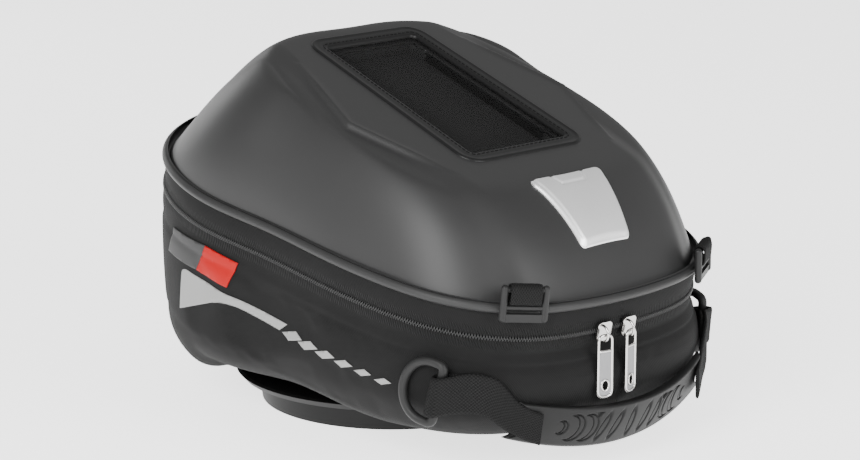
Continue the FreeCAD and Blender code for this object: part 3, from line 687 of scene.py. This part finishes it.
for label, sign, body in (("upper", 1, "lid"), ("lower", -1, "base")):
    teeth = paint(zip_teeth("coil_" + label, sign), "coil")
    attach(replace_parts(teeth, "zip_coil_" + label), body)

# --- window trim, stitches, film and pocket ---
TRIM = ((-0.2, -0.6), (0.0, 0.3), (0.4, 0.8), (1.0, 1.0), (1.7, 0.95), (2.2, 0.72), (4.2, 0.78), (5.6, 0.78),
        (6.6, 0.62), (7.6, 0.62), (8.4, 0.4), (8.9, -0.4), (9.0, -1.8))


def window_ring(margin, height, count=240):
    path, run = rounded_rect(margin, count)
    w = dome_w(path[:, 0], path[:, 1]) + height
    return edge(path[:, 0], path[:, 1], w), run


rows = [window_ring(m, h)[0] for m, h in TRIM]
trim = paint(grid("window_trim", rows, sharp=75), "trim")
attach(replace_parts(tidy_normals(trim), "window_frame"), "lid")


def window_stitches(count=124, half=1.15, thick=0.32):
    """A row of short threads round the window."""
    path, _ = window_ring(6.7, 0.72, count)
    ahead = unit(np.roll(path, -1, 0) - np.roll(path, 1, 0))
    turns = np.arange(6) / 6 * 2 * math.pi
    verts, faces = [], []
    for point, run in zip(path, ahead):
        side = np.cross(EDGE_UP, run)
        base = len(verts)
        for t, size in ((-1, 0.45), (-0.6, 1.0), (0.6, 1.0), (1, 0.45)):
            for a in turns:
                round_way = side * math.cos(a) + EDGE_UP * math.sin(a)
                verts.append(point + run * t * half + round_way * thick * size)
        faces += [[base + i for i in face] for face in strip_faces(4, 6)]
        faces.append([base + a for a in range(6)][::-1])
        faces.append([base + 18 + a for a in range(6)])
    return tidy_normals(add_mesh("window_stitches", verts, faces))


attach(paint(window_stitches(), "thread"), "lid")


def window_cap(margin, levels, count=160):
    """Sheet over the window from its rim to the middle; levels are (share to the middle, height)."""
    path, _ = rounded_rect(margin, count)
    rows, uvs = [], []
    mid = np.array([0, WIN_MID])
    for share, height in levels:
        p = path * (1 - share) + mid * share
        rows.append(edge(p[:, 0], p[:, 1], dome_w(p[:, 0], p[:, 1]) + height))
        uvs.append(p)
    return rows, uvs


levels = [(t, -0.9 + 0.5 * smooth(0, 0.3, t)) for t in np.linspace(0, 0.995, 26)]
rows, uvs = window_cap(8.6, levels)
film = grid("window_film_sheet", rows, uvs, caps=("last",))
thick = film.modifiers.new("thick", "SOLIDIFY")
thick.thickness = 0.4 * MM
paint(film, "film")
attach(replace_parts(film, "window_film"), "lid")
paint(NODES["phone_pocket"], "tray")

# --- badge ---
BADGE = ((-25.6, -121.0), (-17.5, -156.5), (17.5, -156.5), (25.6, -121.0))


def bend(a, b, c, steps=8):
    """Points on the curve that runs from a to c and is pulled towards b."""
    a, b, c = np.array(a), np.array(b), np.array(c)
    t = np.linspace(0, 1, steps)[:, None]
    return (1 - t) ** 2 * a + 2 * t * (1 - t) * b + t * t * c


def rounded_polygon(points, radius, steps=8, count=200):
    pts = np.asarray(points, float)
    path = []
    for i in range(len(pts)):
        a, b, c = pts[i - 1], pts[i], pts[(i + 1) % len(pts)]
        da, dc = unit(a - b), unit(c - b)
        half = math.acos(float(np.clip(da.dot(dc), -1, 1))) / 2
        cut = radius / math.tan(half)
        path.extend(bend(b + da * cut, b, b + dc * cut, steps))
    path = np.array(path)
    closed = np.vstack([path, path[:1]])
    run = run_along(closed)
    t = np.arange(count) / count * run[-1]
    return np.stack([np.interp(t, run, closed[:, k]) for k in (0, 1)], 1)


def badge_mesh():
    rim = rounded_polygon(BADGE, 3.2)
    mid = np.array([0.0, -138.0])
    notch = ((-11.5, -121.0), (-8.0, -128.5), (8.5, -128.5), (12.0, -121.0))
    rows = []
    for share, lift in [(0.0, -1.0), (0.0, 0.6)] + [(s, None) for s in np.linspace(0.02, 0.995, 46)]:
        p = rim * (1 - share) + mid * share
        if lift is None:
            away = share * np.linalg.norm(rim - mid, axis=1)
            left = p[:, 0] - (-25.6 + 8.1 * (p[:, 1] + 121.0) / -35.5)
            lift = 0.6 + 1.7 * smooth(0, 2.2, away)
            lift = lift - 0.9 * (1 - smooth(2.6, 3.5, left))
            d = np.full(len(p), 1e9)
            for a, b in zip(notch, notch[1:]):
                a, b = np.array(a), np.array(b)
                t = np.clip(((p - a) @ (b - a)) / (b - a).dot(b - a), 0, 1)
                d = np.minimum(d, np.linalg.norm(p - a - t[:, None] * (b - a), axis=1))
            lift = lift - 0.95 * np.exp(-(d / 0.75) ** 2)
        rows.append(edge(p[:, 0], p[:, 1], dome_w(p[:, 0], p[:, 1]) + lift))
    return tidy_normals(grid("front_badge", rows, caps=("last",), sharp=50))


badge = paint(badge_mesh(), "silver")
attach(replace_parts(badge, "badge"), "lid")

# --- base ---
TOP_W = SPLIT - 1.0
LOW_JOIN = SPLIT - 8.0
FLANK_ARCH = 8.3
SEAM_DOWN = 13.8            # run down the cloth to the tape's sewn edge
WALL_SWELL = 0.8
FOOT_SHARE = 0.62           # size of the flat foot against the outline
RIM_TO_FOOT = 0.3           # share of the floor's depth range between the rim and the foot


def flank_lift(y):
    """How far the underside arches up at the sides."""
    return FLANK_ARCH * smooth(0, 1, (56 - y) / 18) * smooth(0, 1, (y + 92) / 75)


def wall_point(share, offset, depth):
    """Point on the fabric wall. depth 0..1 is the straight wall, 1..2 the turn under, 2..3 the floor."""
    share = np.asarray(share, float)
    top2 = outline(share, offset)
    if depth < 0:
        return edge(top2[:, 0], top2[:, 1], LOW_JOIN + (TOP_W - LOW_JOIN) * -depth)
    upper = edge(top2[:, 0], top2[:, 1], LOW_JOIN)
    if depth <= 1:
        low2 = outline(share, offset + BULGE)
        lower = np.stack([low2[:, 0], low2[:, 1] * CT, np.full(len(share), CORNER_Z)], 1)
        swell = math.sin(math.pi * depth) * WALL_SWELL
        out = outline(share, offset + swell) - top2
        point = upper * (1 - depth) + lower * depth
        point[:, :2] += out
        return point
    angle = math.pi / 2 * min(depth - 1, 1)
    inset = CORNER_IN * (1 - math.cos(angle)) - BULGE * math.cos(angle)
    p = outline(share, offset - inset)
    y = p[:, 1] * CT
    rim = np.stack([p[:, 0], y, CORNER_Z - (CORNER_Z - FLOOR_Z - flank_lift(y)) * math.sin(angle)], 1)
    if depth <= 2:
        return rim
    foot = top2 * FOOT_SHARE
    foot = np.stack([foot[:, 0], foot[:, 1] * CT, np.full(len(share), FLOOR_Z)], 1)
    mix = min((depth - 2) / RIM_TO_FOOT, 1)
    point = rim * (1 - mix) + foot * mix
    if depth > 2 + RIM_TO_FOOT:
        point[:, :2] *= (3 - depth) / (1 - RIM_TO_FOOT)
    return point


SAG_LOW, SAG_HIGH = 15.0, 62.0     # the free stretch of wall, measured down from the zip's edge
SAG_COLS, SAG_ROWS = 150, 20
SAG_CAP = 1.0
SAG_FRAMES = 20


def settled_wall():
    """How far the soft wall settles inwards (outwards where negative), in millimetres.

    A cloth simulation of a coarse copy of the wall, held at its upper and lower edges.
    """
    shares = np.arange(SAG_COLS) / SAG_COLS
    depths = np.linspace(-1, 2, 120)
    stack = np.array([wall_point(shares, 0.0, d) for d in depths])
    run = np.concatenate([np.zeros((1, SAG_COLS)),
                          np.cumsum(np.linalg.norm(np.diff(stack, axis=0), axis=2), axis=0)])
    want = np.linspace(SAG_LOW, SAG_HIGH, SAG_ROWS)
    rows = np.array([[[np.interp(w, run[:, c], stack[:, c, k]) for k in range(3)]
                      for c in range(SAG_COLS)] for w in want])
    proxy = grid("wall_cloth", rows)
    held = proxy.vertex_groups.new(name="held")
    count = SAG_ROWS * SAG_COLS
    held.add(list(range(SAG_COLS)) + list(range(count - SAG_COLS, count)), 1.0, "REPLACE")
    cloth = proxy.modifiers.new("cloth", "CLOTH")
    cloth.settings.quality = 6
    cloth.settings.vertex_group_mass = "held"
    cloth.settings.use_pressure = True
    cloth.settings.uniform_pressure_force = 3.0
    cloth.settings.shrink_min = -0.008
    cloth.settings.bending_stiffness = 3.0
    cloth.settings.effector_weights.gravity = 0.0
    for number in range(1, SAG_FRAMES + 1):
        bpy.context.scene.frame_set(number)
    settled = proxy.evaluated_get(bpy.context.evaluated_depsgraph_get())
    after = np.array([v.co for v in settled.data.vertices]) / MM
    bpy.context.scene.frame_set(1)
    old = proxy.data
    bpy.data.objects.remove(proxy)
    bpy.data.meshes.remove(old)
    normal = outline(shares, 1.0) - outline(shares, 0.0)
    moved = (after.reshape(rows.shape) - rows)[..., :2]
    sag = -(moved * normal).sum(2)
    return SAG_CAP * np.tanh(sag / SAG_CAP)


SAG = settled_wall()


def sag_at(shares, run):
    """Sag at each share, run millimetres down the wall, read between the cloth's points."""
    row = np.clip((run - SAG_LOW) / (SAG_HIGH - SAG_LOW), 0, 1) * (SAG_ROWS - 1)
    col = shares * SAG_COLS
    r0 = np.minimum(row.astype(int), SAG_ROWS - 2)
    c0 = col.astype(int) % SAG_COLS
    c1 = (c0 + 1) % SAG_COLS
    a, b = row - r0, col - np.floor(col)
    top = SAG[r0, c0] * (1 - b) + SAG[r0, c1] * b
    low = SAG[r0 + 1, c0] * (1 - b) + SAG[r0 + 1, c1] * b
    return (top * (1 - a) + low * a) * (run < SAG_HIGH)


def base_wall(name, offset, start, flip=False, seam=True):
    """The lower half's cloth: a raised tape under the zip, then a wall that settles, then the floor."""
    depths = [*np.linspace(start, 0, 6)[:-1], *np.linspace(0, 1, 22)[:-1], *np.linspace(1, 2, 22)[:-1],
              2, 2.1, 2.2, 2.3, 2.6, 2.9, 2.995]
    rows, uvs = [], []
    run = np.zeros(AROUND)
    last = None
    for d in depths:
        p = wall_point(SHARES, offset, d)
        if last is not None:
            run = run + np.linalg.norm(p - last, axis=1)
        last = p.copy()
        if seam:
            out = outline(SHARES, 1.0) - outline(SHARES, 0.0)
            ease = 0.4 * (1 - smooth(12.0, SEAM_DOWN, run)) - 0.35 * np.exp(-(run - SEAM_DOWN) ** 2)
            ease = ease * smooth(0, 2.5, run)
            ease = ease - sag_at(SHARES, run)
            p[:, 0] += out[:, 0] * ease
            p[:, 1] += out[:, 1] * ease
        rows.append(p)
        uvs.append(np.stack([along_mm(SHARES), -run], 1))
    return grid(name, rows, uvs, flip=flip, caps=("last",), sharp=60)


wall = base_wall("base_fabric", 0.0, -1.0)
paint(wall, "twill")
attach(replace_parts(wall, "base_shell", "zip_tape_lower"), "base")
lining = paint(base_wall("base_inner_cloth", -WALL, -0.4, True, False), "lining")
for v in lining.data.vertices:
    v.co.z = max(v.co.z, (FLOOR_Z + WALL) * MM)
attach(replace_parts(lining, "base_lining"), "base")

# --- cloth hinge ---
HINGE_HALF = 45.0
hinge_share = 0.5 + np.linspace(-HINGE_HALF, HINGE_HALF, 60) / PERIMETER
hinge_edge = ((0.9, 9.5), (1.2, 8))
hinge_profile = [(out, SPLIT + w) for out, w in hinge_edge]
hinge_profile += [(0.75, SPLIT + w) for w in np.linspace(6, -6, 13)]
hinge_profile += [(out, SPLIT - w) for out, w in hinge_edge[::-1]]
hinge = paint(ring_band("hinge_cloth", hinge_profile, hinge_share, closed=False), "twill")
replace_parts(hinge, "hinge_cloth_base", "hinge_cloth_lid")
far = edge(0, 128.5, SPLIT)
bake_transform(hinge)

# --- prints and tag on the wall ---
bm = bmesh.new()
bm.from_mesh(wall.data)
WALL_TREE = BVHTree.FromBMesh(bm)
bm.free()


def on_wall(name, points, side, lift, thick):
    """Flat patch drawn in (y, z) millimetres, laid on the fabric wall and raised by lift."""
    bm = bmesh.new()
    face = bm.faces.new([bm.verts.new((0, y * MM, z * MM)) for y, z in points])
    bmesh.ops.triangulate(bm, faces=[face])
    ys, zs = [p[0] for p in points], [p[1] for p in points]
    for axis, low, high in (((0, 1, 0), min(ys), max(ys)), ((0, 0, 1), min(zs), max(zs))):
        for k in np.arange(low + 1.5, high, 1.5):
            bmesh.ops.bisect_plane(bm, geom=bm.verts[:] + bm.edges[:] + bm.faces[:],
                                   plane_co=[c * float(k) * MM for c in axis], plane_no=axis, dist=1e-7)
    bmesh.ops.remove_doubles(bm, verts=bm.verts, dist=1e-6)
    outer = {}
    for v in bm.verts:
        hit, normal, _, _ = WALL_TREE.ray_cast(Vector((side * 0.2, v.co.y, v.co.z)), Vector((-side, 0, 0)))
        if normal.dot(Vector((side, 0, 0))) < 0:
            normal = -normal
        outer[v] = hit + normal * lift * MM
    for v, co in outer.items():
        v.co = co
    mesh = bpy.data.meshes.new(name)
    bm.to_mesh(mesh)
    bm.free()
    mesh.polygons.foreach_set("use_smooth", [True] * len(mesh.polygons))
    obj = bpy.data.objects.new(name, mesh)
    bpy.context.scene.collection.objects.link(obj)
    tidy_normals(obj)
    solid = obj.modifiers.new("thick", "SOLIDIFY")
    solid.thickness = thick * MM
    solid.offset = 0
    return obj


# The wedge has one rounded corner and an arched underside. Each dash is a slanted box a little
# smaller than the one before it.
WEDGE = (*bend((38, 81), (44, 81.4), (44.4, 78)), (48, 58), *bend((18, 67.2), (7, 70.5), (-4, 67.5)),
         (-31, 61), (-37, 65))
DASHES = 6
DASH_MIDDLE, DASH_PITCH = Vector((-41.3, 59.9)), Vector((-12.5, -2.38))
DASH_LENGTH, LENGTH_CHANGE = Vector((-5.3, 1.15)), Vector((0.45, -0.06))
DASH_LEAN, LEAN_CHANGE = Vector((-2.9, -1.75)), Vector((0.16, 0.15))
for label, side in (("left", -1), ("right", 1)):
    patches = [on_wall("print_wedge_" + label, WEDGE, side, 0.22, 0.25)]
    for k in range(DASHES):
        middle = DASH_MIDDLE + DASH_PITCH * k
        length = DASH_LENGTH + LENGTH_CHANGE * k
        lean = DASH_LEAN + LEAN_CHANGE * k
        dash = [middle + length * a + lean * b for a, b in ((-1, -1), (1, -1), (1, 1), (-1, 1))]
        patches.append(on_wall("print_dash_%d_%s" % (k + 1, label), dash, side, 0.22, 0.25))
    for i, patch in enumerate(patches):
        paint(patch, "print")
        if i == 0:
            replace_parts(patch, "reflective_" + label)
        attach(patch, "base")

TAG_GREY = ((55, 100.5), (62, 86.5), (29, 83), (22, 97))
TAG_RED = ((22, 97), (29, 83), (4.6, 77.8), (-2, 91.5))
tag = paint(on_wall("side_tag_grey", TAG_GREY, -1, 0.5, 0.7), "tag_grey")
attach(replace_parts(tag, "side_label"), "base")
tag = paint(on_wall("side_tag_red", TAG_RED, -1, 0.55, 0.8), "tag_red")
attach(tag, "base")

# --- hard pieces that keep their CAD shape ---
for names, material, bevel in ((("lock_ring",), "ring", 0.5), (("lock_plate", "release_latch"), "hard", 0.3),
                               (("buckle_left", "buckle_right"), "hard", 0.35),
                               (("lock_screws", "lock_nuts"), "steel", 0.15),
                               (("floor_board", "backing_ring"), "board", 0.2),
                               (("slider_left", "slider_right"), "nickel", 0.3)):
    for name in names:
        node = NODES[name]
        paint(node, material)
        if bevel:
            edge_round = node.modifiers.new("soft_edges", "BEVEL")
            edge_round.width = bevel * MM
            edge_round.segments = 2
            edge_round.limit_method = "ANGLE"

# --- pullers ---
ZIP_R = 225.0


def arc_place(u, out, w):
    """Place on the zip's front arc, with the ways along it and outwards."""
    angle = math.asin(u / ZIP_R)
    radius = ZIP_R + out
    point = edge(radius * math.sin(angle), -174 + ZIP_R - radius * math.cos(angle), w)
    along = edge(math.cos(angle), math.sin(angle), 0) - edge(0, 0, 0)
    outwards = edge(math.sin(angle), -math.cos(angle), 0) - edge(0, 0, 0)
    return point, along, outwards


PULL_OUT = 7.0              # from the zip's line out to the bail
PULL_LENGTH = 31.6
PULL_CROSSBAR = 8.2
HOLE_DOWN, HOLE_HALF = 25.8, (2.2, 2.8)
WIRE = 0.75


def puller(name, u, turn):
    """Wire frame and sunk panel of a hanging puller; a, b, c run across it, down it and out of its face."""
    pivot, _, _ = arc_place(u, PULL_OUT, SPLIT)
    t = math.radians(turn)
    across, down = np.array([math.cos(t), math.sin(t), 0]), np.array([0, 0, -1.0])
    face = np.array([math.sin(t), -math.cos(t), 0])

    def at(a, b, c=0.0):
        return pivot + across * a + down * b + face * c

    def hole(turns):
        return [(HOLE_HALF[0] * math.cos(a), HOLE_DOWN + HOLE_HALF[1] * math.sin(a)) for a in turns]

    corners = ((-4.0, 0.0), (-4.2, PULL_LENGTH), (4.2, PULL_LENGTH), (4.0, 0.0))
    frame_path = rounded_polygon(corners, 3.2, count=96)
    pieces = [round_sweep("r1", [at(a, b) for a, b in frame_path], WIRE, closed=True, sides=10),
              round_sweep("r2", [at(a, PULL_CROSSBAR) for a in np.linspace(-3.8, 3.8, 5)], WIRE, sides=10),
              round_sweep("r3", [at(a, b, 0.25) for a, b in hole(np.arange(40) / 40 * 2 * math.pi)], 0.55,
                          closed=True, sides=8)]
    rim = join(name, pieces)
    for p in rim.data.polygons:
        p.use_smooth = True
    panel_rim = rounded_polygon(((-3.7, 8.4), (-3.9, 31.3), (3.9, 31.3), (3.7, 8.4)), 2.6, count=80)
    ring = np.array(hole(np.arctan2(panel_rim[:, 1] - HOLE_DOWN, panel_rim[:, 0])))
    rows = [[at(a, b, c) for a, b in path] for path, c in
            ((ring, -0.3), (ring, 0.25), (panel_rim, 0.25), (panel_rim, -0.3))]
    panel = tidy_normals(grid(name + "_panel", rows, close_rows=True, sharp=40))
    return rim, panel


for label, u, turn in (("left", -17.2, -12.0), ("right", 0.2, 12.0)):
    rim, panel = puller("pull_tab_" + label, u, turn)
    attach(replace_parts(paint(rim, "nickel"), "puller_" + label), "puller_" + label)
    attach(paint(panel, "panel"), "puller_" + label)

# --- straps, rings and tabs ---
BAR_TOP, BAR_LOW = np.array([96.0, -139.3, 58.0]), np.array([98.5, -134.8, 35.0])
BAR_MID = (BAR_TOP + BAR_LOW) / 2
BAR_UP = unit(BAR_TOP - BAR_LOW)
BOW = np.array([0.27, 0.96, 0.08])
BOW = unit(BOW - BAR_UP * BOW.dot(BAR_UP))


def flip_x(points, side):
    points = np.array(points, float)
    points[..., 0] *= side
    return points


RING_HALF, RING_REACH, RING_WIRE = 15.4, 20.2, 2.35
RING_CORNER = 3.0


def d_ring(name, side):
    """D of round bar: a straight side on the pivot, tight corners and a wide bow."""
    straight = RING_HALF - RING_CORNER
    bow_start = 6.5

    def corner(sign, turns):
        return [BAR_MID + BAR_UP * sign * (straight + RING_CORNER * math.sin(a))
                + BOW * RING_CORNER * (1 - math.cos(a)) for a in np.radians(turns)]

    turns = [22, 45, 68, 90]
    pts = [BAR_MID + BAR_UP * s for s in np.linspace(-straight, straight, 9)] + corner(1, turns)
    pts += [BAR_MID + BAR_UP * RING_HALF * math.cos(a)
            + BOW * (bow_start + (RING_REACH - bow_start) * math.sin(a))
            for a in np.radians(np.linspace(0, 180, 25))]
    pts += corner(-1, turns[::-1])
    return round_sweep(name, flip_x(pts, side), RING_WIRE, closed=True, sides=16)


def side_strap(name, side):
    """Webbing from inside the grip, up over the bend, round the ring's bar and back to the wall."""
    d = unit(BAR_MID - np.array([84.8, -150.2, 48.0]))
    out = unit(np.array([d[1], -d[0], 0]))
    r = 4.55
    wrap = [BAR_MID + (out * math.cos(a) + d * math.sin(a)) * r for a in np.radians(np.linspace(0, 180, 13))]
    lead = [np.array(p, float) for p in ((58.0, -169.8, 28.0), (64.0, -165.8, 31.0), (70.0, -161.9, 35.5),
                                         (75.0, -159.2, 41.0), (79.4, -156.2, 45.6), (85.0, -151.0, 47.6),
                                         (91.5, -144.8, 47.4))]
    tail = [np.array(p, float) for p in ((89.0, -143.6, 47.2), (83.6, -149.0, 47.6), (80.5, -152.6, 47.4))]
    path = smooth_path(lead + wrap + tail, 150)
    ups = np.tile(np.array([0.0, 0.0, 1.0]), (150, 1))
    near = np.linalg.norm(path - BAR_MID, axis=1)
    mix = (1 - smooth(6, 16, near))[:, None]
    ups = ups * (1 - mix) + BAR_UP * mix
    widths = 20.5 - 4.5 * smooth(80, 66, path[:, 0])
    path, ups = flip_x(path, side), flip_x(ups, side)
    return webbing(name, path, ups, widths, 1.9, 0.35)


for label, side in (("left", -1), ("right", 1)):
    ring = paint(d_ring("strap_ring_" + label, side), "hard")
    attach(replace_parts(ring, "d_ring_" + label), "d_ring_" + label)
    strap = paint(side_strap("side_strap_" + label, side), "webbing")
    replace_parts(strap, "wall_strap_" + label, "handle_strap_" + label)
    flip_x([80.5, -155.5, 49.5], side) * MM
    flip_x([75.0, -161.5, 40.0], side) * MM
    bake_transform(strap)

# --- buckle tabs ---
def buckle_frame():
    shares = np.arange(0, 500) / 2000
    best = shares[np.argmin(np.abs(outline(shares)[:, 0] - 63.5))]
    inner, outer, ahead = outline([best])[0], outline([best], 1.0)[0], outline([best + 0.002])[0]
    out = unit(edge(*outer, 0) - edge(*inner, 0))
    along = unit(edge(*ahead, 0) - edge(*inner, 0))
    return edge(*inner, 0), along, out


def buckle_tab(name, side):
    base, along, out = buckle_frame()
    loop = ((1.0, 3.6), (3.6, 3.7), (8.9, 1.2), (12.0, 1.2), (13.9, 2.6), (14.0, 4.8),
            (12.2, 6.35), (7.0, 6.9), (4.8, 6.6))     # height and distance out
    path = smooth_path([base + EDGE_UP * h + out * o for h, o in loop], 60)
    path = flip_x(path, side)
    return webbing(name, path, flip_x(along, side), 16.2, 1.2)


for label, side in (("left", -1), ("right", 1)):
    tab = paint(buckle_tab("buckle_webbing_" + label, side), "webbing")
    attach(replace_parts(tab, "buckle_tab_" + label), "lid")

# --- grip ---
def grip_corners(t):
    """Top edge, foot edge and inward way of the grip, t from -1 to 1 along it."""
    fall = 1 - t * t
    top = np.stack([68 * t, -164 - 17 * fall, 42.5 - 9 * fall], -1)
    foot = np.stack([73 * t, -158 - 12.5 * fall, 24 - 13.5 * fall], -1)
    inwards = np.stack([-1.5 * t, 2.9 + 2.1 * fall, 0 * t], -1)
    return top, foot, inwards


def grip_pattern(x, y):
    """Depth 0..1 of the pressed-in shapes, x along the grip and y up it, in millimetres."""
    depth = np.zeros(np.broadcast(x, y).shape)

    def outlined(inside):
        groove = np.exp(-(inside / 0.42) ** 2)
        return np.maximum(depth, np.maximum(groove, 0.3 * smooth(-0.2, 0.3, inside)))
    for sign in (-1, 1):
        a = x * -sign
        for cx, r, shift in ((46.5, 3.4, 2.0), (39.5, 6.6, 3.2), (31.0, 6.8, 3.2)):
            depth = outlined(np.minimum(r - np.hypot(a - cx, y), np.hypot(a - cx - shift, y) - r))
        depth = np.maximum(depth, smooth(-0.3, 0.3, np.minimum(7.6 - y, y - 4.8 - np.abs(a - 25.5) * 1.1)))
        for cx in (20.0, 11.0):
            c, s = math.cos(math.radians(72)), math.sin(math.radians(72))
            p, q = (a - cx) * c * -sign + y * s, -(a - cx) * s * -sign + y * c
            depth = outlined((1 - np.hypot(p / 6.3, q / 1.9)) * 1.9)
    return outlined((1 - np.hypot(y / 6.3, x / 1.9)) * 1.9)


GRIP_HALF, GRIP_WIDE = 74.0, 20.5


def grip_mesh():
    """Thick rubber band with a crowned, patterned front; the groove attribute holds the pattern, from which
    the material paints shade into the grooves.
    """
    cols_t = np.linspace(-1, 1, 560)
    s = np.concatenate([[0.0, 0.02], np.linspace(0.05, 0.95, 76), [0.98, 1.0]])
    back = np.linspace(1.0, 0.0, 12)
    rows, marks = [], []
    for t0 in cols_t:
        def place(share, t0=t0):
            t = t0 * (1 - 0.115 * 4 * share * (1 - share))
            return (t, *grip_corners(t))
        t, top, foot, inw = place(s)
        p = top * (1 - s[:, None]) + foot * s[:, None]
        normal = unit(-inw)
        y = (0.5 - s) * GRIP_WIDE
        round_off = 1.1 * (1 - np.clip(np.minimum(s, 1 - s) / 0.06, 0, 1)) ** 2
        end = 1.2 * (1 - smooth(0, 0.03, 1 - abs(t0)))
        pressed = grip_pattern(t * GRIP_HALF, y)
        lift = 0.9 * np.sin(math.pi * s) - 0.9 * pressed - round_off - end
        front = p + normal * lift[:, None]
        t, top, foot, inw = place(back)
        q = top * (1 - back[:, None]) + foot * back[:, None] + inw
        rows.append(np.vstack([front, q]))
        marks.append(np.concatenate([pressed, np.zeros(len(back))]))
    obj = tidy_normals(grid("grip_body", rows, caps=("first", "last"), sharp=45))
    layer = obj.data.attributes.new("groove", "FLOAT", "POINT")
    layer.data.foreach_set("value", np.concatenate(marks))
    return obj


grip = paint(grip_mesh(), "grip")
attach(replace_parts(grip, "handle_grip"), "handle")

# --- floor, light and camera ---
bpy.ops.mesh.primitive_plane_add(size=12, location=(0, 0, 0))
floor = bpy.context.object
floor.name = "floor"
floor_look = Shade("floor_white", 0.6, Emission_Color=(1, 1, 1, 1), Emission_Strength=2.1)
floor_look.color(floor_look.noise(floor_look.coords(), 3.0), (0.90, 0.90, 0.90), (0.92, 0.92, 0.92))
floor.data.materials.append(floor_look.mat)

world = bpy.data.worlds.new("studio")
bpy.context.scene.world = world
world.use_nodes = True
sky = world.node_tree
ways = sky.nodes.new("ShaderNodeTexCoord")
part = sky.nodes.new("ShaderNodeSeparateXYZ")
sky.links.new(ways.outputs["Generated"], part.inputs[0])
fade = sky.nodes.new("ShaderNodeMapRange")
fade.inputs["From Min"].default_value = 0.05
fade.inputs["From Max"].default_value = 0.75
fade.inputs["To Min"].default_value = 0.75
fade.inputs["To Max"].default_value = 0.5
sky.links.new(part.outputs[2], fade.inputs["Value"])
sky.links.new(fade.outputs[0], sky.nodes["Background"].inputs["Strength"])
sky.nodes["Background"].inputs["Color"].default_value = (1, 1, 1, 1)


def softbox(name, place, aim, size, power):
    light = bpy.data.lights.new(name, "AREA")
    light.shape = "RECTANGLE"
    light.size, light.size_y = size
    light.energy = power
    obj = bpy.data.objects.new(name, light)
    obj.location = place
    obj.rotation_euler = (Vector(aim) - Vector(place)).to_track_quat("-Z", "Y").to_euler()
    bpy.context.scene.collection.objects.link(obj)


AIM = (0.0022, -0.0266, 0.0952)
softbox("key", (-1.2, -0.5, 0.75), AIM, (0.8, 0.8), 26)
softbox("front", (0.1, -1.4, 0.55), AIM, (0.6, 0.6), 13)
softbox("rear", (0.2, 1.5, 0.5), AIM, (0.6, 0.6), 3)

camera = bpy.data.cameras.new("camera")
camera.sensor_width = 36.0
camera.lens = 116.79
cam = bpy.data.objects.new("camera", camera)
AZ, EL, DIST = math.radians(-43.5), math.radians(13.1), 1.5
back_dir = Vector((math.sin(AZ) * math.cos(EL), -math.cos(AZ) * math.cos(EL), math.sin(EL)))
cam.location = Vector(AIM) + back_dir * DIST
cam.rotation_euler = (-back_dir).to_track_quat("-Z", "Y").to_euler()
bpy.context.scene.collection.objects.link(cam)
bpy.context.scene.camera = cam
